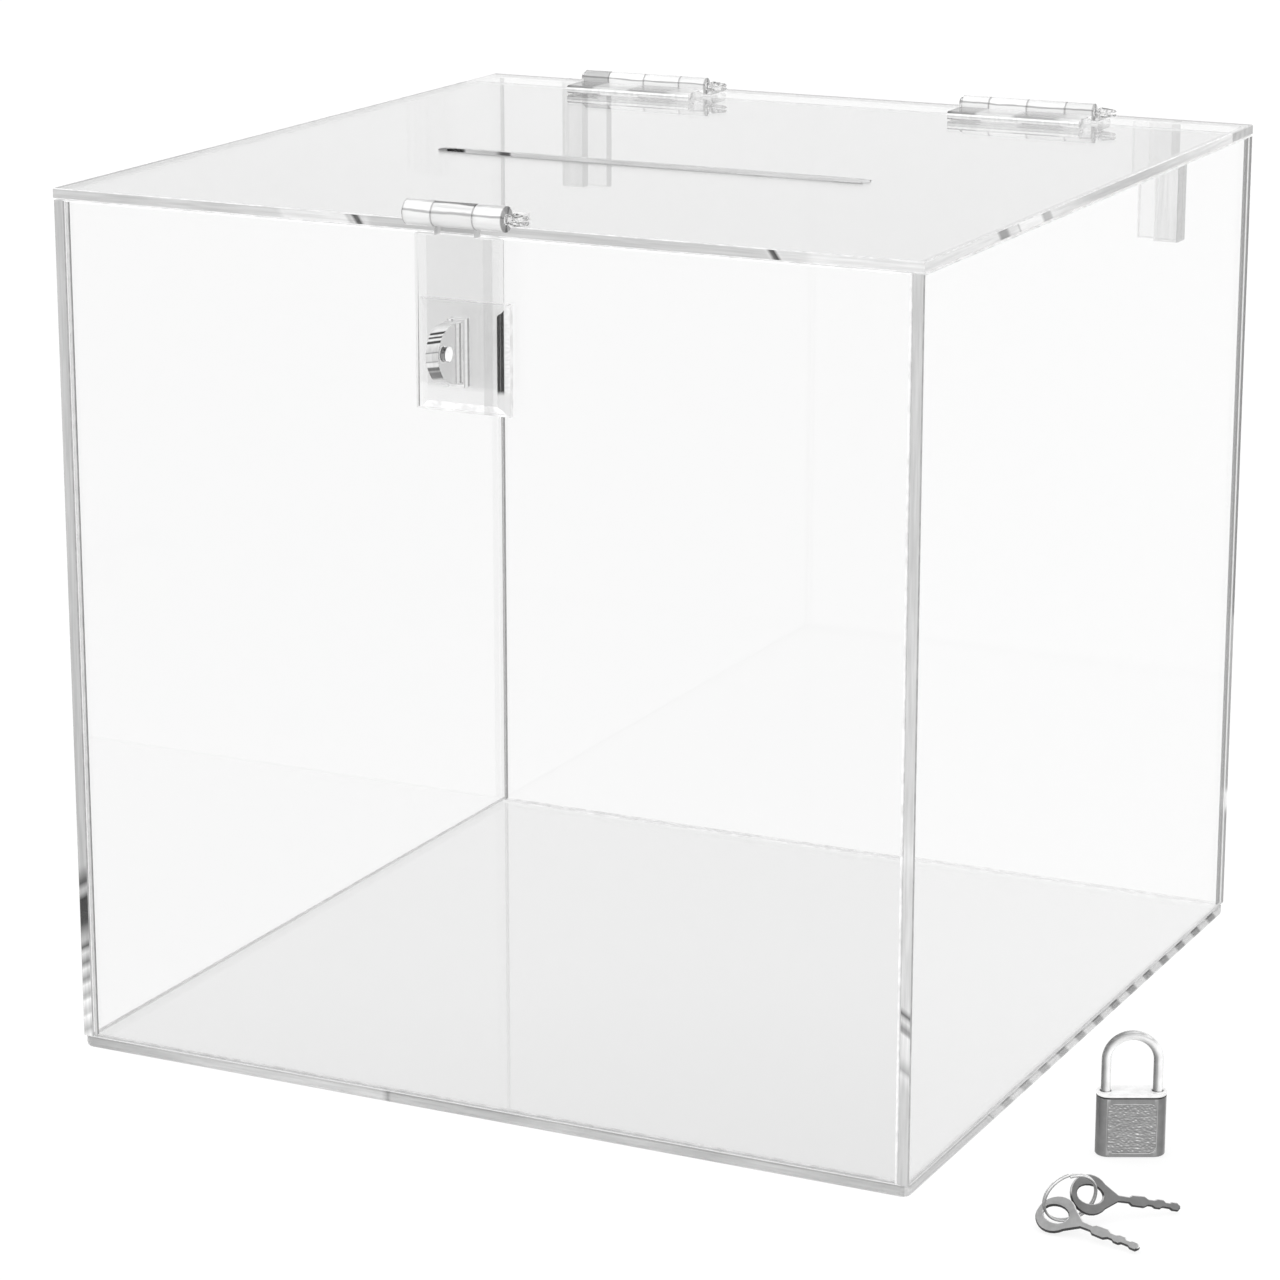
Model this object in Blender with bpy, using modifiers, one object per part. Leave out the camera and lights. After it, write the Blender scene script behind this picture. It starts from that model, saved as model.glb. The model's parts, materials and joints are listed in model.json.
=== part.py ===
"""Donation box: a clear acrylic cube with a slotted, hinged lid, an acrylic hasp, a small padlock and two keys.

Units are metres, +Z is up. The origin is the centre of the box's underside. The front faces -Y.
"""

import math

import bmesh
import bpy
from mathutils import Matrix, Vector

MM = 0.001
GAP = 0.3 * MM  # clearance left between neighbouring pieces
OVERLAP = 0.6 * MM  # how far a shape runs into the one that it is joined to
REACH = 1 * MM  # how far a cutter runs past the face that it opens

# Box
WIDTH = 305 * MM
DEPTH = 305 * MM
HEIGHT = 296 * MM
WALL = 4.0 * MM
FLOOR = 4 * MM
TOP = 3.5 * MM
FLOOR_CORNER = 3 * MM
FLOOR_ROUND = 1.6 * MM
WALL_LOW = FLOOR + GAP
WALL_HIGH = HEIGHT - TOP - GAP
FRONT = -DEPTH / 2
BACK = DEPTH / 2

# Lid, and the fixed strip behind it
SEAM = 129.65 * MM  # Y of the joint between the lid and the strip
SEAM_HALF = 0.25 * MM
SLOT_LENGTH = 160 * MM
SLOT_WIDTH = 8 * MM
SLOT_Y = -24 * MM

# Rear hinges, lying on the top with their barrels over the seam
HINGE_X = WIDTH / 4
HINGE_LENGTH = 50 * MM
HINGE_AXIS_Z = HEIGHT + 4.1 * MM
HINGE_KNUCKLES = (10.5 * MM, 14.5 * MM, 14.5 * MM, 10.5 * MM)
HINGE_RADIUS = 3 * MM
HINGE_BORE = 1.5 * MM
HINGE_PIN = 1.2 * MM
LEAF_NEAR = 3.6 * MM  # from the hinge's axis to the leaf's near edge
LEAF_FAR = 16.5 * MM
LEAF_THICK = 3 * MM
LEAF_BELOW = 3.8 * MM  # from the hinge's axis down to the leaf's underside
LEAF_ROUND = 1.3 * MM
WEB_NEAR = 1.8 * MM  # the web joins the leaf to its knuckles
WEB_THICK = 1.6 * MM

# Sign rails on the outside of the back panel
RAIL_OUTER = 123 * MM
RAIL_SPACER = 9 * MM
RAIL_SPACER_THICK = 4.5 * MM
RAIL_LIP = 17 * MM
RAIL_LIP_THICK = 4 * MM
RAIL_LOW = HEIGHT - 44.5 * MM

# Hasp
HASP_AXIS_Y = -159.1 * MM
HASP_AXIS_Z = HEIGHT + 3.4 * MM
HASP_LENGTH = 34.5 * MM
HASP_MIDDLE = 14.5 * MM  # the flap's knuckle
HASP_RADIUS = 4.1 * MM
HASP_BORE = 1.75 * MM
HASP_PIN = 1.45 * MM
HASP_FOOT_BACK = -143.5 * MM
HASP_FOOT_THICK = 3 * MM
HASP_FOOT_ROUND = 1 * MM
HASP_FOOT_CLEAR = 0.4 * MM  # between the knuckles and the foot
FLAP_WIDTH = 29.8 * MM
FLAP_THICK = 4 * MM
FLAP_TOP = HEIGHT - 3 * MM
FLAP_LOW = HEIGHT - 58 * MM
FLAP_SLOPE = 5 * MM  # width of the sloped band along each side
FLAP_EDGE = 2.4 * MM  # thickness left at the sloped sides
STEM_WIDTH = 14 * MM
FLAP_SLOT_WIDTH = 5.6 * MM
FLAP_SLOT_TOP = HEIGHT - 28.7 * MM
FLAP_SLOT_LOW = HEIGHT - 50.2 * MM
FLAP_FRONT = HASP_AXIS_Y - FLAP_THICK / 2
FLAP_BACK = HASP_AXIS_Y + FLAP_THICK / 2
PAD_WIDTH = 31.6 * MM
PAD_TOP = HEIGHT - 24 * MM
PAD_LOW = HEIGHT - 59.5 * MM
PAD_EDGE = 2.2 * MM
PAD_SLOPE = 5 * MM
PAD_RISE = 1.8 * MM
STAPLE_THICK = 4.4 * MM
STAPLE_HOLE = 2.2 * MM
STAPLE_HOLE_OUT = 8.3 * MM
STAPLE_HOLE_Z = HEIGHT - 38 * MM

# Padlock, in its own frame: X across, Y from its front to its back, Z up from its foot
PADLOCK_PLACE = (201.3 * MM, -85.6 * MM, 0)
PADLOCK_TURN = math.radians(26.1)
CASE_WIDTH = 22.5 * MM
CASE_DEPTH = 8.4 * MM
CASE_HEIGHT = 20 * MM
CASE_ROUND = 0.7 * MM
PLATE_THICK = 1.2 * MM
PANEL_WIDTH = 15.6 * MM
PANEL_HEIGHT = 16.6 * MM
PANEL_DEEP = 0.35 * MM
PANEL_LOW = 1.6 * MM
PANEL_CORNER = 2 * MM
SHACKLE_ROD = 1.57 * MM
SHACKLE_HALF = 8.3 * MM
SHACKLE_HOLE = 1.9 * MM
SHACKLE_TOP = 41.7 * MM
HEEL_END = 7 * MM
HEEL_BORE_END = 2.5 * MM
TOE_END = 13.1 * MM
PLUG_RADIUS = 2.9 * MM
PLUG_BORE = 3.2 * MM
PLUG_TOP = 10 * MM
KEYWAY_WIDTH = 0.9 * MM
KEYWAY_LENGTH = 4.5 * MM
KEYWAY_DEEP = 8 * MM
DRIVE_ARM = 2.1 * MM  # from the plug's axis to its drive pin
DRIVE_PIN = 0.6 * MM
DRIVE_TOP = 16.2 * MM
DRIVE_END = 16.8 * MM  # top of the slot that the drive pin runs in
POCKET_FLOOR = 14.5 * MM  # the bolt's pocket, and its channel to the shackle's toe
POCKET_LEFT = -5.2 * MM
POCKET_RIGHT = 5.3 * MM
POCKET_REAR = 3.2 * MM
CHANNEL_HALF = 1.5 * MM
BOLT_LOW = POCKET_FLOOR + GAP
BOLT_HIGH = 18.9 * MM
BOLT_TAIL = -0.6 * MM
BOLT_BLOCK = 5 * MM
BOLT_NOSE = 7.35 * MM
BOLT_HALF = 1.2 * MM  # half the nose's width
BOLT_REAR = 2.9 * MM
NOSE_LOW = 16.5 * MM
NOTCH_LOW = 14.6 * MM
NOTCH_DEEP = 0.92 * MM
SPRING_RADIUS = 1.2 * MM
SPRING_WIRE = 0.25 * MM
SPRING_COILS = 3
BOLT_SPRING_Y = 0.85 * MM
BOLT_SPRING_Z = 16.85 * MM

# Keys and ring
KEY_THICK = 1.2 * MM
KEY_BOW = 6.5 * MM
KEY_HOLE = (4.35 * MM, 3 * MM)
KEY_1_PLACE = (208.8 * MM, -143.3 * MM, 8.6 * MM)  # the bow's centre, held up by the ring
KEY_1_TIP = (232.4 * MM, -124.6 * MM, 1.6 * MM)
KEY_1_LEAN = math.radians(38.8)  # how far the face points above the horizontal
KEY_2_PLACE = (201.8 * MM, -153.5 * MM, 4.6 * MM)
KEY_2_TIP = (231.4 * MM, -160.2 * MM, 1.6 * MM)
KEY_2_LEAN = math.radians(44.9)
RING_PLACE = (204.6 * MM, -149.4 * MM, 9.3 * MM)
RING_LEAN = math.radians(-15.1)
RING_TURN = math.radians(46.4)
RING_RADIUS = 8.6 * MM
RING_WIRE = 0.4 * MM
RING_TURNS = 2
RING_PITCH = 0.85 * MM
RING_SEAM = math.radians(100)  # where the coil's ends lie, at the ring's top, clear of the keys


# ---------------------------------------------------------------- scene and materials

for leftover in list(bpy.data.objects):
    bpy.data.objects.remove(leftover, do_unlink=True)

parts = bpy.data.collections.new("donation_box")
tools = bpy.data.collections.new("cutters")
bpy.context.scene.collection.children.link(parts)
bpy.context.scene.collection.children.link(tools)


def paint(name, colour, roughness, metallic=0.0, transmission=0.0):
    made = bpy.data.materials.new(name)
    made.use_nodes = True
    shader = made.node_tree.nodes["Principled BSDF"]
    shader.inputs["Base Color"].default_value = (*colour, 1)
    shader.inputs["Roughness"].default_value = roughness
    shader.inputs["Metallic"].default_value = metallic
    shader.inputs["Transmission Weight"].default_value = transmission
    shader.inputs["IOR"].default_value = 1.49
    return made


ACRYLIC = paint("acrylic", (0.96, 0.97, 0.97), 0.02, transmission=1)
ACRYLIC_FITTING = paint("acrylic_fitting", (0.93, 0.94, 0.94), 0.04, transmission=1)
CASE_STEEL = paint("case_steel", (0.33, 0.33, 0.33), 0.35, metallic=1)
BRIGHT_STEEL = paint("bright_steel", (0.8, 0.8, 0.8), 0.12, metallic=1)
SPRING_STEEL = paint("spring_steel", (0.5, 0.5, 0.5), 0.3, metallic=1)
BRASS = paint("brass", (0.72, 0.56, 0.28), 0.3, metallic=1)
KEY_DARK = paint("key_dark", (0.2, 0.2, 0.2), 0.35, metallic=1)
KEY_LIGHT = paint("key_light", (0.42, 0.42, 0.42), 0.35, metallic=1)


# ---------------------------------------------------------------- shapes

def block(low, high):
    """A box between two corners."""
    shape = bmesh.new()
    bmesh.ops.create_cube(shape, size=1)
    size = [b - a for a, b in zip(low, high)]
    middle = [(a + b) / 2 for a, b in zip(low, high)]
    bmesh.ops.scale(shape, vec=size, verts=shape.verts)
    bmesh.ops.translate(shape, vec=middle, verts=shape.verts)
    return shape


def rod(radius, start, end, sides=24):
    """A cylinder from one point to another."""
    start, end = Vector(start), Vector(end)
    along = end - start
    shape = bmesh.new()
    bmesh.ops.create_cone(
        shape, cap_ends=True, segments=sides, radius1=radius, radius2=radius, depth=along.length
    )
    turn = Vector((0, 0, 1)).rotation_difference(along).to_matrix().to_4x4()
    bmesh.ops.transform(shape, matrix=Matrix.Translation((start + end) / 2) @ turn, verts=shape.verts)
    return shape


def round_edges(shape, radius, pick, steps=3):
    """Rounds the edges that pick(middle, direction) accepts, leaving out those inside a flat face."""
    chosen = []
    for edge in shape.edges:
        a, b = (vertex.co for vertex in edge.verts)
        if edge.calc_face_angle() > 0.1 and pick((a + b) / 2, (b - a).normalized()):
            chosen.append(edge)
    bmesh.ops.bevel(shape, geom=chosen, offset=radius, segments=steps, profile=0.5, affect="EDGES")
    return shape


def mesh_of(shape, name):
    mesh = bpy.data.meshes.new(name)
    bmesh.ops.recalc_face_normals(shape, faces=shape.faces)
    shape.to_mesh(mesh)
    shape.free()
    return mesh


def shade(mesh):
    mesh.shade_smooth()
    mesh.set_sharp_from_angle(angle=math.radians(35))


def piece(name, shape, finish, parent=None):
    """A named part from a bmesh that is drawn in its parent's frame."""
    mesh = mesh_of(shape, name)
    shade(mesh)
    mesh.materials.append(finish)
    obj = bpy.data.objects.new(name, mesh)
    obj.parent = parent
    parts.objects.link(obj)
    return obj


def combine(obj, operation, shapes):
    """Joins shapes to a part, or cuts them from it. They are drawn in the part's parent's frame."""
    for number, shape in enumerate(shapes):
        name = f"{obj.name}_{operation.lower()}_{number}"
        tool = bpy.data.objects.new(name, mesh_of(shape, name))
        tool.parent = obj.parent
        tool.matrix_parent_inverse = obj.matrix_parent_inverse
        tool.hide_render = True
        tool.display_type = "WIRE"
        tools.objects.link(tool)
        modifier = obj.modifiers.new(name, "BOOLEAN")
        modifier.operation = operation
        modifier.object = tool


def marker(name, place, parent=None):
    """An empty on a joint's axis, or at the foot of a free piece."""
    empty = bpy.data.objects.new(name, None)
    empty.location = place
    empty.parent = parent
    empty.empty_display_size = 0.01
    parts.objects.link(empty)
    return empty


def hang(obj, axis, place):
    """Parents a part drawn in the box's frame to an empty at place, and leaves it where it is."""
    obj.parent = axis
    obj.matrix_parent_inverse = Matrix.Translation(-Vector(place))


def outline_object(name, loops, thickness):
    """A flat outline, with any holes as further loops, drawn in XY and as thick as given along Z."""
    curve = bpy.data.curves.new(name, "CURVE")
    curve.dimensions = "2D"
    curve.fill_mode = "BOTH"
    curve.extrude = thickness / 2
    for loop in loops:
        spline = curve.splines.new("POLY")
        spline.points.add(len(loop) - 1)
        for point, (x, y) in zip(spline.points, loop):
            point.co = (x, y, 0, 1)
        spline.use_cyclic_u = True
    return bpy.data.objects.new(name, curve)


def wire_object(name, points, radius, roundness):
    """A round wire or rod through points."""
    curve = bpy.data.curves.new(name, "CURVE")
    curve.dimensions = "3D"
    curve.bevel_depth = radius
    curve.bevel_resolution = roundness
    curve.use_fill_caps = True
    spline = curve.splines.new("POLY")
    spline.points.add(len(points) - 1)
    for point, place in zip(spline.points, points):
        point.co = (*place, 1)
    return bpy.data.objects.new(name, curve)


def shape_of(curve_object, frame=None):
    """The curve object's solid as a bmesh, moved by a matrix. The curve object is removed."""
    tools.objects.link(curve_object)
    graph = bpy.context.evaluated_depsgraph_get()
    mesh = bpy.data.meshes.new_from_object(curve_object.evaluated_get(graph))
    shape = bmesh.new()
    shape.from_mesh(mesh)
    bmesh.ops.remove_doubles(shape, verts=shape.verts, dist=0.001 * MM)
    if frame is not None:
        bmesh.ops.transform(shape, matrix=frame, verts=shape.verts)
    bpy.data.objects.remove(curve_object)
    bpy.data.meshes.remove(mesh)
    return shape


def flat(loops, thickness, frame=None):
    return shape_of(outline_object("outline", loops, thickness), frame)


def arc(centre, radius, start, end, steps):
    """Points along an arc, with its angles in degrees."""
    points = []
    for step in range(steps + 1):
        angle = math.radians(start + (end - start) * step / steps)
        points.append((centre[0] + radius * math.cos(angle), centre[1] + radius * math.sin(angle)))
    return points


def stadium(length, width, steps=12, centre=(0, 0)):
    """A long outline with half-round ends."""
    straight = (length - width) / 2
    right = arc((centre[0] + straight, centre[1]), width / 2, -90, 90, steps)
    left = arc((centre[0] - straight, centre[1]), width / 2, 90, 270, steps)
    return right + left


def ellipse(half_x, half_y, steps=20):
    turns = [2 * math.pi * step / steps for step in range(steps)]
    return [(half_x * math.cos(turn), half_y * math.sin(turn)) for turn in turns]


def helix(radius, low, high, turns, steps, first=0):
    """Points along a coil about Z, from the angle given."""
    points = []
    for step in range(turns * steps + 1):
        angle = first + 2 * math.pi * step / steps
        height = low + (high - low) * step / (turns * steps)
        points.append((radius * math.cos(angle), radius * math.sin(angle), height))
    return points


def turned(name, profile, finish, place, steps=20):
    """A pin turned about the X axis: its profile is (radius, distance along X), from its +X end down."""
    mesh = bpy.data.meshes.new(name)
    points = [(radius, 0, along) for radius, along in profile]
    mesh.from_pydata(points, [(i, i + 1) for i in range(len(points) - 1)], [])
    mesh.materials.append(finish)
    obj = bpy.data.objects.new(name, mesh)
    obj.location = place
    obj.rotation_euler = (0, math.pi / 2, 0)
    parts.objects.link(obj)
    screw = obj.modifiers.new("turn", "SCREW")
    screw.steps = screw.render_steps = steps
    screw.use_merge_vertices = True
    screw.merge_threshold = 0.00001
    screw.use_smooth_shade = True
    return obj


def along_x(middle, direction):
    return abs(direction.x) > 0.99


def along_y(middle, direction):
    return abs(direction.y) > 0.99


def along_z(middle, direction):
    return abs(direction.z) > 0.99


# ---------------------------------------------------------------- box shell

def make_shell():
    half_width, half_depth = WIDTH / 2, DEPTH / 2
    floor = block((-half_width, -half_depth, 0), (half_width, half_depth, FLOOR))
    round_edges(floor, FLOOR_CORNER, along_z)
    round_edges(floor, FLOOR_ROUND, lambda middle, direction: middle.z < 0.1 * MM)
    piece("floor_panel", floor, ACRYLIC)
    for name, side in (("left_panel", -1), ("right_panel", 1)):
        outer, inner = side * half_width, side * (half_width - WALL)
        low = (min(outer, inner), -half_depth, WALL_LOW)
        high = (max(outer, inner), half_depth, WALL_HIGH)
        piece(name, block(low, high), ACRYLIC)
    reach = half_width - WALL - GAP
    piece("front_panel", block((-reach, FRONT, WALL_LOW), (reach, FRONT + WALL, WALL_HIGH)), ACRYLIC)
    piece("back_panel", block((-reach, BACK - WALL, WALL_LOW), (reach, BACK, WALL_HIGH)), ACRYLIC)
    strip = block((-half_width, SEAM + SEAM_HALF, HEIGHT - TOP), (half_width, BACK, HEIGHT))
    piece("top_rear_strip", strip, ACRYLIC)


def make_sign_rails():
    spacer_front = BACK + GAP
    spacer_back = spacer_front + RAIL_SPACER_THICK
    lip_front = spacer_back + GAP
    lip_back = lip_front + RAIL_LIP_THICK
    for word, side in (("left", -1), ("right", 1)):
        for part, width, front, back in (
            ("spacer", RAIL_SPACER, spacer_front, spacer_back),
            ("lip", RAIL_LIP, lip_front, lip_back),
        ):
            ends = sorted((side * RAIL_OUTER, side * (RAIL_OUTER - width)))
            shape = block((ends[0], front, RAIL_LOW), (ends[1], back, WALL_HIGH))
            piece(f"sign_rail_{word}_{part}", shape, ACRYLIC_FITTING)


def make_lid(axis, place):
    middle = (FRONT + SEAM - SEAM_HALF) / 2
    half_depth = (SEAM - SEAM_HALF - FRONT) / 2
    half_width = WIDTH / 2
    corners = ((-1, -1), (1, -1), (1, 1), (-1, 1))
    edge = [(x * half_width, y * half_depth) for x, y in corners]
    slot = stadium(SLOT_LENGTH, SLOT_WIDTH, 8, (0, SLOT_Y - middle))
    shape = flat((edge, slot), TOP, Matrix.Translation((0, middle, HEIGHT - TOP / 2)))
    hang(piece("lid", shape, ACRYLIC), axis, place)


# ---------------------------------------------------------------- hinges

def knuckle_spans(lengths, centre):
    """Where each knuckle of a barrel starts and ends along X."""
    spans = []
    start = centre - sum(lengths) / 2
    for length in lengths:
        spans.append((start + GAP / 2, start + length - GAP / 2))
        start += length
    return spans


def make_leaf(name, centre, side, spans):
    """A leaf on one side of the barrel (-1 front, 1 rear), with its knuckles."""
    low = HINGE_AXIS_Z - LEAF_BELOW
    high = low + LEAF_THICK
    ends = sorted((SEAM + side * LEAF_NEAR, SEAM + side * LEAF_FAR))
    start, end = centre - HINGE_LENGTH / 2, centre + HINGE_LENGTH / 2
    plate = block((start, ends[0], low), (end, ends[1], high))
    far = SEAM + side * LEAF_FAR
    round_edges(
        plate, LEAF_ROUND,
        lambda middle, direction: abs(middle.y - far) < 0.1 * MM and along_x(middle, direction),
    )
    leaf = piece(name, plate, ACRYLIC_FITTING)
    joined = []
    for left, right in spans:
        joined.append(rod(HINGE_RADIUS, (left, SEAM, HINGE_AXIS_Z), (right, SEAM, HINGE_AXIS_Z)))
        web = sorted((SEAM + side * WEB_NEAR, SEAM + side * (LEAF_NEAR + OVERLAP)))
        joined.append(block((left, web[0], high - WEB_THICK), (right, web[1], high)))
    combine(leaf, "UNION", joined)
    bore = rod(HINGE_BORE, (start - REACH, SEAM, HINGE_AXIS_Z), (end + REACH, SEAM, HINGE_AXIS_Z), 20)
    combine(leaf, "DIFFERENCE", [bore])
    return leaf


def split_pin(name, place, half_length, radius, neck, blob, reach, head):
    """A headed pin with a split, barbed tip that reaches past the barrel's +X end."""
    tip = half_length + reach
    barb = half_length + reach - blob
    profile = [
        (0, tip),
        (neck * 0.75, tip),
        (neck, tip - 0.5 * MM),
        (neck * 1.3, barb + 0.45 * blob),
        (neck * 1.5, barb + 0.15 * blob),
        (neck * 1.35, barb),
        (radius, barb - 0.2 * MM),
        (radius, -half_length - GAP),
        (head, -half_length - GAP),
        (head, -half_length - GAP - 0.7 * MM),
        (head - 0.4 * MM, -half_length - GAP - 1 * MM),
        (0, -half_length - GAP - 1 * MM),
    ]
    pin = turned(name, profile, ACRYLIC_FITTING, place)
    split = block(
        (place[0] + barb + 0.5 * MM, place[1] - 2 * head, place[2] - 0.4 * MM),
        (place[0] + tip + REACH, place[1] + 2 * head, place[2] + 0.4 * MM),
    )
    combine(pin, "DIFFERENCE", [split])
    return pin


def make_hinges(lid_axis, place):
    for word, side in (("left", -1), ("right", 1)):
        centre = side * HINGE_X
        spans = knuckle_spans(HINGE_KNUCKLES, centre)
        lid_leaf = make_leaf(f"hinge_{word}_lid_leaf", centre, -1, spans[0::2])
        hang_with_tools(lid_leaf, lid_axis, place)
        make_leaf(f"hinge_{word}_body_leaf", centre, 1, spans[1::2])
        split_pin(
            f"hinge_{word}_pin", (centre, SEAM, HINGE_AXIS_Z), HINGE_LENGTH / 2,
            radius=HINGE_PIN, neck=1.25 * MM, blob=6 * MM, reach=7.8 * MM, head=2.2 * MM,
        )


def hang_with_tools(obj, axis, place):
    """Hangs a part and the shapes that are joined to it or cut from it."""
    hang(obj, axis, place)
    for modifier in obj.modifiers:
        if modifier.type == "BOOLEAN":
            hang(modifier.object, axis, place)


# ---------------------------------------------------------------- hasp

def make_hasp(lid_axis, lid_place, flap_axis, flap_place):
    half = HASP_LENGTH / 2
    inner = HASP_MIDDLE / 2
    centre = (0, HASP_AXIS_Y, HASP_AXIS_Z)
    foot_low = HEIGHT + GAP
    foot_high = foot_low + HASP_FOOT_THICK
    foot_front = HASP_AXIS_Y + HASP_RADIUS + HASP_FOOT_CLEAR
    foot = block((-half, foot_front, foot_low), (half, HASP_FOOT_BACK, foot_high))
    rear = HASP_FOOT_BACK - 0.1 * MM
    round_edges(foot, HASP_FOOT_ROUND, lambda middle, direction: middle.y > rear and along_x(middle, direction))
    leaf = piece("hasp_lid_leaf", foot, ACRYLIC_FITTING)
    joined = []
    for start, end in ((-half, -inner - GAP / 2), (inner + GAP / 2, half)):
        joined.append(rod(HASP_RADIUS, (start, HASP_AXIS_Y, HASP_AXIS_Z), (end, HASP_AXIS_Y, HASP_AXIS_Z)))
        web_front = HASP_AXIS_Y + HASP_BORE + GAP
        joined.append(block((start, web_front, foot_low), (end, foot_front + OVERLAP, foot_high)))
    combine(leaf, "UNION", joined)
    bore_ends = ((-half - REACH, HASP_AXIS_Y, HASP_AXIS_Z), (half + REACH, HASP_AXIS_Y, HASP_AXIS_Z))
    combine(leaf, "DIFFERENCE", [rod(HASP_BORE, *bore_ends, 20)])
    hang_with_tools(leaf, lid_axis, lid_place)

    pin = split_pin(
        "hasp_pin", centre, half, radius=HASP_PIN, neck=1.45 * MM, blob=5.6 * MM, reach=7.6 * MM, head=2.4 * MM
    )
    hang_with_tools(pin, lid_axis, lid_place)

    wide = FLAP_WIDTH / 2
    slope_front = FLAP_BACK - FLAP_EDGE
    section = [
        (-wide, FLAP_BACK), (-wide, slope_front), (-wide + FLAP_SLOPE, FLAP_FRONT),
        (wide - FLAP_SLOPE, FLAP_FRONT), (wide, slope_front), (wide, FLAP_BACK),
    ]
    plate = flat([section], FLAP_TOP - FLAP_LOW, Matrix.Translation((0, 0, (FLAP_TOP + FLAP_LOW) / 2)))
    flap = piece("hasp_flap", plate, ACRYLIC_FITTING)
    knuckle_end = inner - GAP / 2
    stem_half = STEM_WIDTH / 2
    stem = block(
        (-stem_half, FLAP_FRONT, FLAP_TOP - OVERLAP), (stem_half, FLAP_BACK, HASP_AXIS_Z - HASP_BORE - GAP)
    )
    knuckle_ends = ((-knuckle_end, HASP_AXIS_Y, HASP_AXIS_Z), (knuckle_end, HASP_AXIS_Y, HASP_AXIS_Z))
    knuckle = rod(HASP_RADIUS, *knuckle_ends)
    combine(flap, "UNION", [stem, knuckle])
    slot_half = FLAP_SLOT_WIDTH / 2
    slot = block(
        (-slot_half, FLAP_FRONT - REACH, FLAP_SLOT_LOW), (slot_half, FLAP_BACK + REACH, FLAP_SLOT_TOP)
    )
    combine(flap, "DIFFERENCE", [rod(HASP_BORE, *bore_ends, 20), slot])
    hang_with_tools(flap, flap_axis, flap_place)

    pad_back = FRONT - GAP
    pad = block((-PAD_WIDTH / 2, pad_back - PAD_EDGE, PAD_LOW), (PAD_WIDTH / 2, pad_back, PAD_TOP))
    face = min(pad.faces, key=lambda side: side.calc_center_median().y)
    bmesh.ops.inset_region(pad, faces=[face], thickness=PAD_SLOPE, depth=PAD_RISE)
    piece("hasp_pad", pad, ACRYLIC_FITTING)

    root = pad_back - PAD_EDGE - PAD_RISE - GAP
    make_staple(root)


def make_staple(root):
    """The D-shaped tab, with a faceted rim, that stands out of the pad through the flap's slot."""
    reach = FLAP_FRONT - root  # from the flap's front face back to the tab's root, negative forwards
    rim = [
        (reach, -29.4), (0, -29.4), (3.6, -28.9), (8.2, -29.3), (12.4, -31.2), (14.3, -33.7),
        (15.6, -37.5), (15.1, -40.7), (13.3, -43.5), (11.3, -46), (6.2, -48), (0, -49.2), (reach, -49.2),
    ]
    edge = [(out * MM if out != reach else reach, HEIGHT + down * MM) for out, down in rim]
    hole = [
        (STAPLE_HOLE_OUT + x, STAPLE_HOLE_Z + y) for x, y in ellipse(STAPLE_HOLE, STAPLE_HOLE, 20)
    ]
    frame = Matrix(((0, 0, -1, 0), (-1, 0, 0, FLAP_FRONT), (0, 1, 0, 0), (0, 0, 0, 1)))
    piece("hasp_staple", flat((edge, hole), STAPLE_THICK, frame), ACRYLIC_FITTING)


# ---------------------------------------------------------------- padlock

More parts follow.
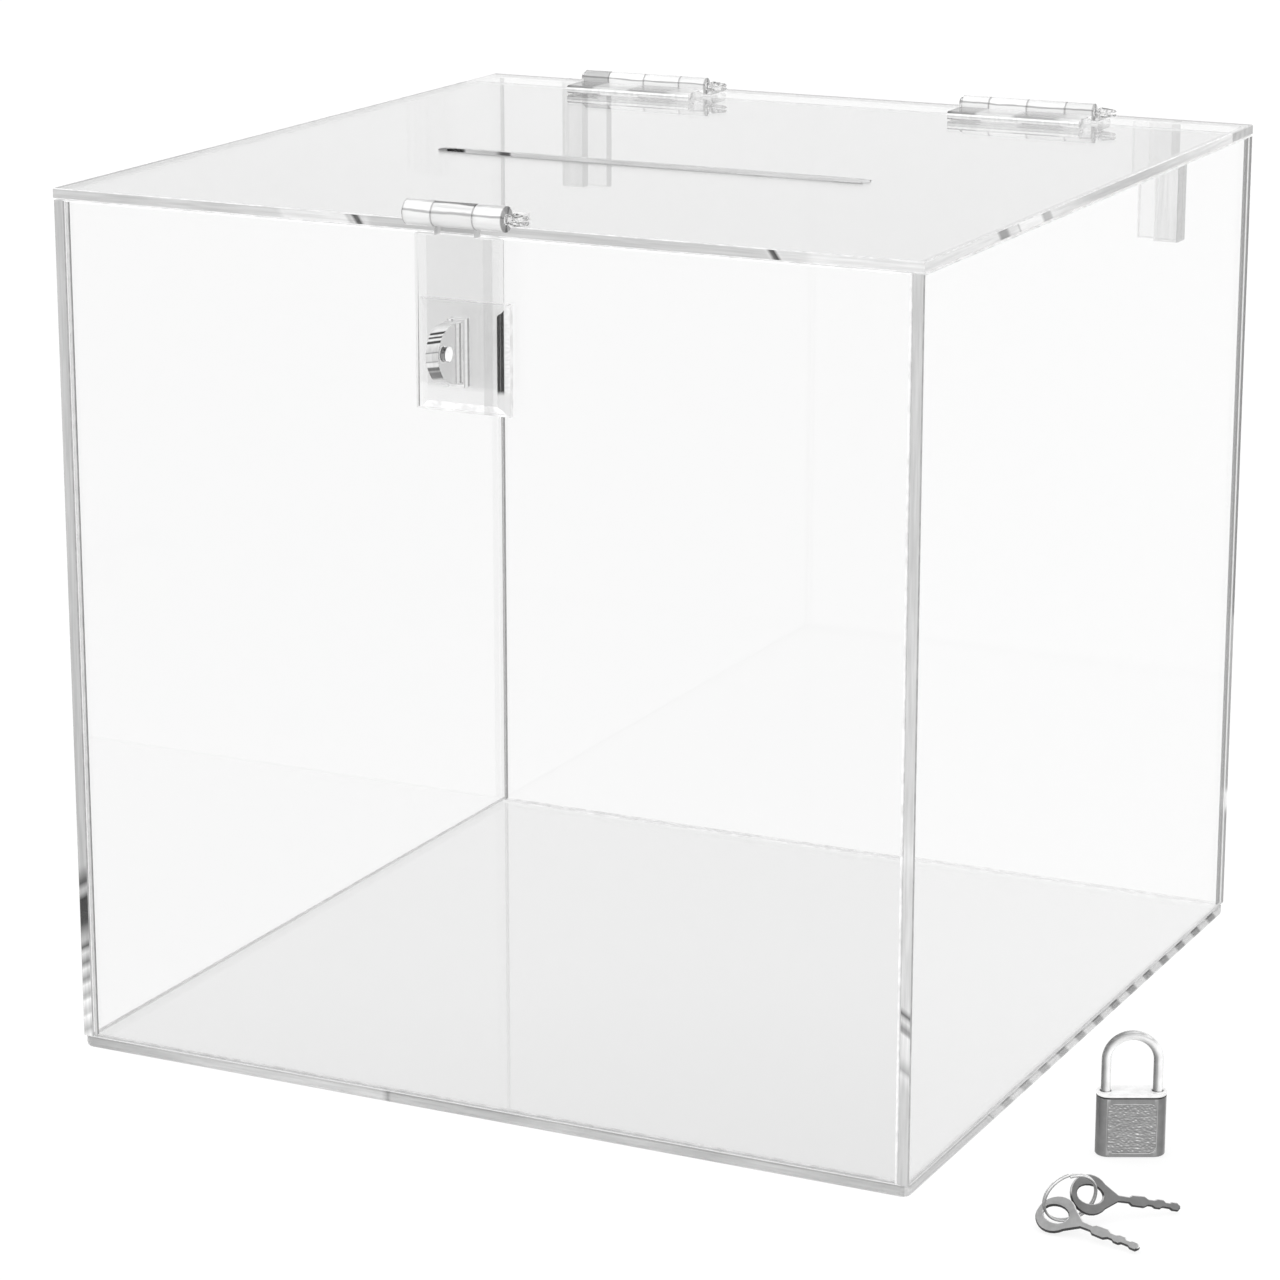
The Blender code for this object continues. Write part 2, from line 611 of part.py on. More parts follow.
def make_padlock(place):
    outline = stadium(CASE_WIDTH, CASE_DEPTH)
    shape = flat([outline], CASE_HEIGHT, Matrix.Translation((0, 0, CASE_HEIGHT / 2)))
    round_edges(shape, CASE_ROUND, lambda middle, direction: middle.z < 0.1 * MM)
    case = piece("padlock_body", shape, CASE_STEEL, place)
    panel_middle = PANEL_LOW + PANEL_HEIGHT / 2
    panels = []
    for side in (-1, 1):
        inner = side * (CASE_DEPTH / 2 - PANEL_DEEP)
        outer = side * (CASE_DEPTH / 2 + REACH)
        low = (-PANEL_WIDTH / 2, min(inner, outer), panel_middle - PANEL_HEIGHT / 2)
        high = (PANEL_WIDTH / 2, max(inner, outer), panel_middle + PANEL_HEIGHT / 2)
        panels.append(round_edges(block(low, high), PANEL_CORNER, along_y))
    top = CASE_HEIGHT + REACH
    holes = [
        rod(SHACKLE_HOLE, (-SHACKLE_HALF, 0, HEEL_BORE_END), (-SHACKLE_HALF, 0, top), 16),
        rod(SHACKLE_HOLE, (SHACKLE_HALF, 0, TOE_END - GAP), (SHACKLE_HALF, 0, top), 16),
        rod(PLUG_BORE, (0, 0, -REACH), (0, 0, POCKET_FLOOR + OVERLAP)),
        block((POCKET_LEFT, -CHANNEL_HALF, POCKET_FLOOR), (POCKET_RIGHT, POCKET_REAR, top)),
        block((BOLT_BLOCK, -CHANNEL_HALF, POCKET_FLOOR), (SHACKLE_HALF, CHANNEL_HALF, top)),
    ]
    combine(case, "DIFFERENCE", panels + holes)

    plate_low = CASE_HEIGHT + GAP
    loops = [outline]
    for side in (-1, 1):
        loops.append([(side * SHACKLE_HALF + x, y) for x, y in ellipse(SHACKLE_HOLE, SHACKLE_HOLE, 16)])
    plate = flat(loops, PLATE_THICK, Matrix.Translation((0, 0, plate_low + PLATE_THICK / 2)))
    piece("padlock_top_plate", plate, BRIGHT_STEEL, place)

    bend = SHACKLE_TOP - SHACKLE_ROD - SHACKLE_HALF
    route = [(-SHACKLE_HALF, 0, HEEL_END)]
    route += [(x, 0, z) for x, z in arc((0, bend), SHACKLE_HALF, 180, 0, 16)]
    route += [(SHACKLE_HALF, 0, TOE_END)]
    bow = shape_of(wire_object("shackle", route, SHACKLE_ROD, 4))
    shackle = piece("padlock_shackle", bow, BRIGHT_STEEL, place)
    notch_face = SHACKLE_HALF - SHACKLE_ROD
    notch_half = SHACKLE_ROD + GAP
    notch = block(
        (notch_face - REACH, -notch_half, NOTCH_LOW), (notch_face + NOTCH_DEEP, notch_half, BOLT_HIGH + GAP)
    )
    combine(shackle, "DIFFERENCE", [notch])

    plug = piece("padlock_plug", rod(PLUG_RADIUS, (0, 0, GAP), (0, 0, PLUG_TOP)), BRASS, place)
    drive = DRIVE_ARM * math.sqrt(0.5)
    combine(plug, "UNION", [rod(DRIVE_PIN, (drive, drive, PLUG_TOP - OVERLAP), (drive, drive, DRIVE_TOP), 12)])
    keyway = block(
        (-KEYWAY_WIDTH / 2, -KEYWAY_LENGTH / 2, -REACH), (KEYWAY_WIDTH / 2, KEYWAY_LENGTH / 2, KEYWAY_DEEP)
    )
    combine(plug, "DIFFERENCE", [keyway])

    block_shape = block((BOLT_TAIL, -BOLT_HALF, BOLT_LOW), (BOLT_BLOCK, BOLT_REAR, BOLT_HIGH))
    bolt = piece("padlock_bolt", block_shape, BRASS, place)
    nose = block((BOLT_BLOCK - OVERLAP, -BOLT_HALF, NOSE_LOW), (BOLT_NOSE, BOLT_HALF, BOLT_HIGH))
    combine(bolt, "UNION", [nose])
    slot_half = DRIVE_PIN + GAP
    slot = block(
        (drive - slot_half, drive - slot_half, BOLT_LOW - REACH),
        (drive + slot_half, BOLT_REAR + REACH, DRIVE_END),
    )
    combine(bolt, "DIFFERENCE", [slot])
    make_padlock_springs(place)


def make_padlock_springs(place):
    start, end = SPRING_WIRE + 0.05 * MM, BOLT_TAIL - POCKET_LEFT - SPRING_WIRE - 0.05 * MM
    lay = Matrix.Translation((POCKET_LEFT, BOLT_SPRING_Y, BOLT_SPRING_Z)) @ Matrix.Rotation(math.pi / 2, 4, "Y")
    stand = Matrix.Translation((-SHACKLE_HALF, 0, 0))
    low, high = HEEL_BORE_END + 2 * SPRING_WIRE, HEEL_END - 2 * SPRING_WIRE
    for name, ends, frame in (
        ("padlock_bolt_spring", (start, end), lay),
        ("padlock_shackle_spring", (low, high), stand),
    ):
        coil = helix(SPRING_RADIUS, *ends, SPRING_COILS, 10)
        piece(name, shape_of(wire_object("coil", coil, SPRING_WIRE, 1), frame), SPRING_STEEL, place)


# ---------------------------------------------------------------- keys

def key_outline():
    """The bow, the neck and the double-sided blade, drawn along +X from the bow's centre."""
    bow = [(x, y) for x, y in arc((0, 0), KEY_BOW, 38, 322, 22)]
    lower = [
        (9.5, -1.1), (13, -1), (14, -1.8), (18, -1.8), (19.4, -1), (20.8, -1), (21.6, -1.5),
        (23.4, -1.5), (24.2, -0.9), (26.6, -0.9), (27.4, -1.4), (29.4, -1.4), (30.2, -0.4),
    ]
    upper = [
        (30.2, 0.4), (29.2, 1.3), (27.2, 1.3), (26.6, 0.9), (25.4, 0.9), (24.6, 1.6),
        (22.6, 1.6), (21.4, 1.1), (19.6, 1.1), (18.2, 1.9), (14, 1.7), (13, 1), (9.5, 1.1),
    ]
    blade = [(x * MM, y * MM) for x, y in lower + upper]
    return bow + blade


def face_frame(place, tip, lean):
    """A frame at place with X towards tip and Z leaning up from the direction that the padlock faces."""
    along = (Vector(tip) - Vector(place)).normalized()
    level = Vector((math.sin(PADLOCK_TURN), -math.cos(PADLOCK_TURN), 0))
    normal = level * math.cos(lean) + Vector((0, 0, math.sin(lean)))
    normal = (normal - along * normal.dot(along)).normalized()
    across = normal.cross(along)
    frame = Matrix((along, across, normal)).transposed().to_4x4()
    frame.translation = place
    return frame


def make_keys():
    hole = ellipse(KEY_HOLE[0], KEY_HOLE[1], 20)
    for name, place, tip, lean, finish in (
        ("key_1", KEY_1_PLACE, KEY_1_TIP, KEY_1_LEAN, KEY_DARK),
        ("key_2", KEY_2_PLACE, KEY_2_TIP, KEY_2_LEAN, KEY_LIGHT),
    ):
        key = piece(name, flat((key_outline(), hole), KEY_THICK), finish)
        key.matrix_world = face_frame(place, tip, lean)


def make_ring():
    coil = helix(RING_RADIUS, -RING_PITCH, RING_PITCH, RING_TURNS, 40, RING_SEAM)
    ring = piece("key_ring", shape_of(wire_object("coil", coil, RING_WIRE, 2)), BRIGHT_STEEL)
    turn = Matrix.Rotation(RING_TURN, 4, "Z") @ Matrix.Rotation(math.pi / 2 - RING_LEAN, 4, "X")
    ring.matrix_world = Matrix.Translation(RING_PLACE) @ turn


# ---------------------------------------------------------------- assembly

def main():
    lid_place = (0, SEAM, HINGE_AXIS_Z)
    flap_place = (0, HASP_AXIS_Y, HASP_AXIS_Z)
    lid_axis = marker("lid_axis", lid_place)
    flap_axis = marker("flap_axis", Vector(flap_place) - Vector(lid_place), lid_axis)
    padlock_place = marker("padlock_place", PADLOCK_PLACE)
    padlock_place.rotation_euler = (0, 0, PADLOCK_TURN)
    make_shell()
    make_sign_rails()
    make_lid(lid_axis, lid_place)
    make_hinges(lid_axis, lid_place)
    make_hasp(lid_axis, lid_place, flap_axis, flap_place)
    make_padlock(padlock_place)
    make_keys()
    make_ring()


main()
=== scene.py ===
"""Looks of the clear acrylic donation box: studio, camera, materials and finished pieces around the CAD frame.

Clear sheet is nearly invisible in a white studio, so its edges carry the look: each edge has painted greys along
its length, painted reflections and painted refraction shade in place of what its polished faces throw. Lengths are
metres, in the CAD's frame.
"""

import json
import math

import bmesh
import bpy
from mathutils import Matrix, Vector, noise


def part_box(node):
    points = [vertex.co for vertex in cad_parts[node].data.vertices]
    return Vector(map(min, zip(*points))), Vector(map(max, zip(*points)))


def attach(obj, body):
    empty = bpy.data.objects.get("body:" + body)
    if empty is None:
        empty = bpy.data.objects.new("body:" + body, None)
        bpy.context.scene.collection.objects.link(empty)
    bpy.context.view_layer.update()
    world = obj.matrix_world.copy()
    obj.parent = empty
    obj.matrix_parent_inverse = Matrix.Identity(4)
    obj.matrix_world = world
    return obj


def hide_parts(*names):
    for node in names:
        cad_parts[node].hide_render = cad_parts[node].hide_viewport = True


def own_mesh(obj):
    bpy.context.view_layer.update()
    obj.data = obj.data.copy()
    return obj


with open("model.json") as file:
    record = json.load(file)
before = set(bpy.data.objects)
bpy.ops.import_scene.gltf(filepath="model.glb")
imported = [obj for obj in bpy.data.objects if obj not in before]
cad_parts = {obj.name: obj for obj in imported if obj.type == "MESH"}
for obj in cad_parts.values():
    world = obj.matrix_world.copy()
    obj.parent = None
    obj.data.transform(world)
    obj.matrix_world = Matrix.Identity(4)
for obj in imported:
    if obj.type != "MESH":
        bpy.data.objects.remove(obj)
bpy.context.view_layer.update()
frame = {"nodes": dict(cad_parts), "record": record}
MM = 0.001
NODES = frame["nodes"]
BEHAVIOUR = frame["record"]["behaviour"]
BODY_OF = {node: body for body, members in BEHAVIOUR["bodies"].items() for node in members}
AXIS_AT = {joint["name"]: joint["pos_m"] for joint in BEHAVIOUR["joints"] if "pos_m" in joint}
X, Y, Z = 0, 1, 2
LEFT, RIGHT, FRONT, BACK, UP = "-x", "+x", "-y", "+y", "+z"
UPWARDS = (0, 0, 1)


# ---------------------------------------------------------------- camera

CAMERA_PLACE = (0.621, -1.298, 0.519)
CAMERA_AZIMUTH = 26.12
CAMERA_ELEVATION = 15.31
CAMERA_LENS = 119.8
SENSOR_WIDTH = 36


def make_camera():
    lens = bpy.data.cameras.new("camera")
    lens.lens = CAMERA_LENS
    lens.sensor_width = SENSOR_WIDTH
    camera = bpy.data.objects.new("camera", lens)
    camera.location = CAMERA_PLACE
    camera.rotation_euler = (math.radians(90 - CAMERA_ELEVATION), 0, math.radians(CAMERA_AZIMUTH))
    bpy.context.scene.collection.objects.link(camera)
    bpy.context.scene.camera = camera


# ---------------------------------------------------------------- node helpers

def grey(level):
    """The linear value of a display level from 0 to 255."""
    share = level / 255
    return share / 12.92 if share <= 0.04045 else ((share + 0.055) / 1.055) ** 2.4


def new_material(name):
    """An empty node material: (material, nodes, links, output)."""
    made = bpy.data.materials.new(name)
    made.use_nodes = True
    tree = made.node_tree
    tree.nodes.clear()
    output = tree.nodes.new("ShaderNodeOutputMaterial")
    return made, tree.nodes, tree.links, output


def principled(nodes, links, output, **values):
    """A Principled shader on the output. A value is named as its socket is, with _ for a space."""
    shader = nodes.new("ShaderNodeBsdfPrincipled")
    links.new(shader.outputs[0], output.inputs["Surface"])
    for name, value in values.items():
        shader.inputs[name.replace("_", " ")].default_value = value
    return shader


def object_axes(nodes, links):
    """The x, y and z sockets of object coordinates, which are metres here."""
    place = nodes.new("ShaderNodeTexCoord")
    split = nodes.new("ShaderNodeSeparateXYZ")
    links.new(place.outputs["Object"], split.inputs[0])
    return split.outputs


def noise_of(nodes, links, scale, detail, stretch=(1, 1, 1)):
    """A noise texture on object coordinates."""
    place = nodes.new("ShaderNodeTexCoord")
    mapping = nodes.new("ShaderNodeMapping")
    mapping.inputs["Scale"].default_value = stretch
    links.new(place.outputs["Object"], mapping.inputs["Vector"])
    made = nodes.new("ShaderNodeTexNoise")
    links.new(mapping.outputs["Vector"], made.inputs["Vector"])
    made.inputs["Scale"].default_value = scale
    made.inputs["Detail"].default_value = detail
    return made.outputs[0]


def ramp(nodes, links, source, stops):
    """A grey ramp: stops are (place from 0 to 1, linear value)."""
    made = nodes.new("ShaderNodeValToRGB")
    keys = made.color_ramp.elements
    while len(keys) < len(stops):
        keys.new(0.5)
    for key, (place, value) in zip(keys, stops):
        key.position = place
        key.color = (value, value, value, 1)
    links.new(source, made.inputs["Fac"])
    return made.outputs[0]


def maths(nodes, links, operation, *values):
    """A Math node; each value is a number or a socket."""
    made = nodes.new("ShaderNodeMath")
    made.operation = operation
    for socket, value in zip(made.inputs, values):
        if isinstance(value, (int, float)):
            socket.default_value = value
        else:
            links.new(value, socket)
    return made.outputs[0]


def spread(nodes, links, source, low, high, first=0.0, last=1.0):
    """source, from low to high, as first to last."""
    made = nodes.new("ShaderNodeMapRange")
    for name, value in (("From Min", low), ("From Max", high), ("To Min", first), ("To Max", last)):
        made.inputs[name].default_value = value
    links.new(source, made.inputs["Value"])
    return made.outputs[0]


def bump(nodes, links, shader, height, distance, strength):
    made = nodes.new("ShaderNodeBump")
    made.inputs["Strength"].default_value = strength
    made.inputs["Distance"].default_value = distance
    links.new(height, made.inputs["Height"])
    links.new(made.outputs["Normal"], shader.inputs["Normal"])


# ---------------------------------------------------------------- studio

FLOOR_GLOW = 0.80
FLOOR_ALBEDO = 0.20
FLOOR_SIZE = 24
FLOOR_DROP = 0.1 * MM  # keeps the studio's floor clear of the box's own floor
SUN_STRENGTH = 2.2
SUN_SPREAD = 150
SUN_TILT = (12, -10)
CLEAR_BOUNCES = 32
GLOSSY_BOUNCES = 24
SKY = (  # brightness from straight down (0) to straight up (1): white to 8 degrees up, then panels of light
    (0.0, 1.0), (0.57, 1.0), (0.63, 0.93), (0.67, 0.75), (0.70, 0.3), (0.76, 0.12), (0.79, 0.9), (0.86, 1.0),
    (0.88, 0.15), (0.95, 0.1), (0.97, 0.8),
)


def make_studio():
    scene = bpy.context.scene
    scene.view_settings.view_transform = "Standard"
    scene.view_settings.look = "None"
    scene.cycles.max_bounces = CLEAR_BOUNCES
    scene.cycles.transmission_bounces = CLEAR_BOUNCES
    scene.cycles.glossy_bounces = GLOSSY_BOUNCES

    world = bpy.data.worlds.new("studio")
    world.use_nodes = True
    scene.world = world
    nodes, links = world.node_tree.nodes, world.node_tree.links
    place = nodes.new("ShaderNodeTexCoord")
    split = nodes.new("ShaderNodeSeparateXYZ")
    links.new(place.outputs["Generated"], split.inputs[0])
    height = spread(nodes, links, split.outputs["Z"], -1, 1)
    links.new(ramp(nodes, links, height, SKY), nodes["Background"].inputs["Color"])

    bpy.ops.mesh.primitive_plane_add(size=FLOOR_SIZE)
    floor = bpy.context.object
    floor.name = "studio_floor"
    floor.location.z = -FLOOR_DROP
    made, nodes, links, output = new_material("studio_floor")
    principled(
        nodes, links, output, Base_Color=(FLOOR_ALBEDO, FLOOR_ALBEDO, FLOOR_ALBEDO, 1), Roughness=1.0,
        Specular_IOR_Level=0.0, Emission_Color=(1, 1, 1, 1), Emission_Strength=FLOOR_GLOW,
    )
    floor.data.materials.append(made)

    sun = bpy.data.lights.new("overhead", "SUN")
    sun.energy = SUN_STRENGTH
    sun.angle = math.radians(SUN_SPREAD)
    lamp = bpy.data.objects.new("overhead", sun)
    lamp.rotation_euler = (math.radians(SUN_TILT[0]), math.radians(SUN_TILT[1]), 0)
    lamp.visible_glossy = False
    lamp.visible_transmission = False
    lamp.visible_camera = False
    scene.collection.objects.link(lamp)


# ---------------------------------------------------------------- acrylic looks

ACRYLIC = 1.49  # index of refraction
FLAP_INDEX = 1.03  # lower for the hasp's flap, so that it doesn't shift the pad that is seen through it
EDGE_ROUGHNESS = 0.12
EDGE_CLEAR = 0.2  # share of a polished edge that lets light through


def clear_acrylic(name, tint, index=ACRYLIC):
    made, nodes, links, output = new_material(name)
    principled(
        nodes, links, output, Base_Color=(tint, tint, tint, 1), Roughness=0.0, IOR=index, Transmission_Weight=1.0
    )
    return made


def graded_acrylic(name, axis, ends, stops, index):
    """Clear acrylic whose tint changes along an axis, as painted light and shade: stops are (share, tint)."""
    made, nodes, links, output = new_material(name)
    shader = principled(nodes, links, output, Roughness=0.0, IOR=index, Transmission_Weight=1.0)
    share = spread(nodes, links, object_axes(nodes, links)[axis], *ends)
    links.new(ramp(nodes, links, share, stops), shader.inputs["Base Color"])
    return made


def edge_look(name, axis, ends, stops, slant=0.0, lean=(Z, 0.0), stripes=None, clear=EDGE_CLEAR):
    """A polished edge of a sheet, its greys painted: painted reflections and painted refraction shade. stops are
    (share, display level) on the way from the first end to the last.

    slant leans the pattern by metres along the edge for each metre on the lean axis, counted from a place on it.
    stripes is (period, from share, dark at the start, dark at the end), bands of painted shade, and runs to the last
    end.
    """
    made, nodes, links, output = new_material(name)
    shader = principled(nodes, links, output, Roughness=EDGE_ROUGHNESS, IOR=ACRYLIC, Transmission_Weight=clear)
    axes = object_axes(nodes, links)
    across = maths(nodes, links, "SUBTRACT", axes[lean[0]], lean[1])
    along = maths(nodes, links, "MULTIPLY_ADD", across, slant, axes[axis])
    share = spread(nodes, links, along, *ends)
    colour = ramp(nodes, links, share, [(at, grey(level)) for at, level in stops])
    stretch = [1.0, 1.0, 1.0]
    stretch[axis] = 0.04
    fine = spread(nodes, links, noise_of(nodes, links, 1400, 2.0, stretch), 0.3, 0.7, 0.86, 1.08)
    if stripes:
        period, start, first, last = stripes
        wave = maths(nodes, links, "SINE", maths(nodes, links, "MULTIPLY", along, 2 * math.pi / period))
        dark = spread(nodes, links, wave, -0.2, 0.5)
        depth = maths(nodes, links, "MULTIPLY", dark, spread(nodes, links, share, start, 0.75, first, last))
        here = maths(nodes, links, "GREATER_THAN", share, start)
        fine = maths(
            nodes, links, "MULTIPLY", fine,
            maths(nodes, links, "SUBTRACT", 1.0, maths(nodes, links, "MULTIPLY", depth, here)),
        )
    links.new(maths(nodes, links, "MULTIPLY", colour, fine), shader.inputs["Base Color"])
    return made


def plain_edge(name, level):
    """An edge of one painted grey, standing in for the reflections and shade a polished edge shows, with fine
    streaks.
    """
    made, nodes, links, output = new_material(name)
    shader = principled(nodes, links, output, Roughness=EDGE_ROUGHNESS, IOR=ACRYLIC, Transmission_Weight=EDGE_CLEAR)
    value = grey(level)
    shades = ramp(nodes, links, noise_of(nodes, links, 300, 3.0), ((0.35, value * 0.85), (0.65, value * 1.1)))
    links.new(shades, shader.inputs["Base Color"])
    return made


def streaky_acrylic(name, dark, light, scale, stretch=(1, 1, 1), stops=(0.36, 0.5)):
    """Moulded clear acrylic with painted dark and bright streaks, in place of the refraction streaks that its curves
    throw along it.
    """
    made, nodes, links, output = new_material(name)
    shader = principled(nodes, links, output, Roughness=0.02, IOR=ACRYLIC, Transmission_Weight=1.0)
    streak = noise_of(nodes, links, scale, 2.0, stretch)
    shades = ramp(nodes, links, streak, ((stops[0], dark), (stops[1], light)))
    links.new(shades, shader.inputs["Base Color"])
    return made


# ---------------------------------------------------------------- pieces

BROAD = 60 * MM * MM  # flat faces over this area take no smoothing from the rounds beside them
SAME_CORNER = 0.002 * MM
FLAT_TURN = math.radians(0.5)
SMOOTH_TURN = math.radians(32)
SQUARE_ON = 0.99  # a face looks along an axis when its normal's share of it is over this
SHEET_CHAMFER = 0.4 * MM
THIN_CHAMFER = 0.3 * MM
RIM_DEPTH = 5 * MM  # faces further in than this from a sheet's ends are the sides of a hole


def solid_of(node):
    """A CAD node's solid, with its corners joined and its flat faces whole."""
    shape = bmesh.new()
    shape.from_mesh(NODES[node].data)
    bmesh.ops.remove_doubles(shape, verts=shape.verts, dist=SAME_CORNER)
    bmesh.ops.dissolve_limit(shape, angle_limit=FLAT_TURN, verts=shape.verts, edges=shape.edges)
    return shape


def chamfer(shape, width, steps=1, angle=30, pick=None):
    """Chamfers or rounds the edges that turn by more than angle, in degrees, and that pick(edge) accepts."""
    chosen = [
        edge for edge in shape.edges
        if len(edge.link_faces) == 2 and edge.calc_face_angle() > math.radians(angle) and (pick is None or pick(edge))
    ]
    bmesh.ops.bevel(
        shape, geom=chosen, offset=width, segments=steps, profile=0.5, affect="EDGES", clamp_overlap=True
    )


def finish(name, shape, node, materials, clear=True, paint=None):
    """A finished piece that stands for a CAD node. paint(face) gives a face's own one of the materials."""
    mesh = bpy.data.meshes.new(name)
    shape.normal_update()
    if paint:
        for face in shape.faces:
            face.material_index = materials.index(paint(face))
    shape.to_mesh(mesh)
    shape.free()
    mesh.shade_smooth()
    mesh.set_sharp_from_angle(angle=SMOOTH_TURN)
    for face in mesh.polygons:
        face.use_smooth = face.area < BROAD
    for material in materials:
        mesh.materials.append(material)
    obj = bpy.data.objects.new(name, mesh)
    bpy.context.scene.collection.objects.link(obj)
    if clear:
        obj.visible_shadow = False
        obj.visible_diffuse = False
    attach(obj, BODY_OF[node])
    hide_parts(node)
    return obj


def side_of(normal, thin):
    """Which side of a sheet a face is on, or None for its broad faces. thin is the axis of its thickness."""
    if abs(normal[thin]) > SQUARE_ON:
        return None
    axis = max((a for a in range(3) if a != thin), key=lambda a: abs(normal[a]))
    return ("-" if normal[axis] < 0 else "+") + "xyz"[axis]


def sheet(node, face_look, ends, width=SHEET_CHAMFER):
    """A sheet with chamfered edges. ends gives (edge material, chamfer material) for each side, or None for all.

    The sides of a hole in it are keyed with "hole" before the side that they face.
    """
    low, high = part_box(node)
    size = high - low
    thin = min(range(3), key=lambda a: size[a])
    shape = solid_of(node)

    def rim(edge):
        return {abs(face.normal[thin]) > SQUARE_ON for face in edge.link_faces} == {True, False}

    chamfer(shape, width, pick=rim)
    materials = [face_look]
    for pair in ends.values():
        for material in pair:
            if material not in materials:
                materials.append(material)

    def paint(face):
        side = side_of(face.normal, thin)
        if side is None:
            return face_look
        axis = "xyz".index(side[1])
        middle = face.calc_center_median()[axis]
        if min(abs(middle - low[axis]), abs(middle - high[axis])) > RIM_DEPTH:
            side = "hole" + side
        end, bevel = ends.get(side, ends[None])
        return bevel if abs(face.normal[thin]) > 0.2 else end

    return finish(node + "_sheet", shape, node, materials, paint=paint)


# ---------------------------------------------------------------- box

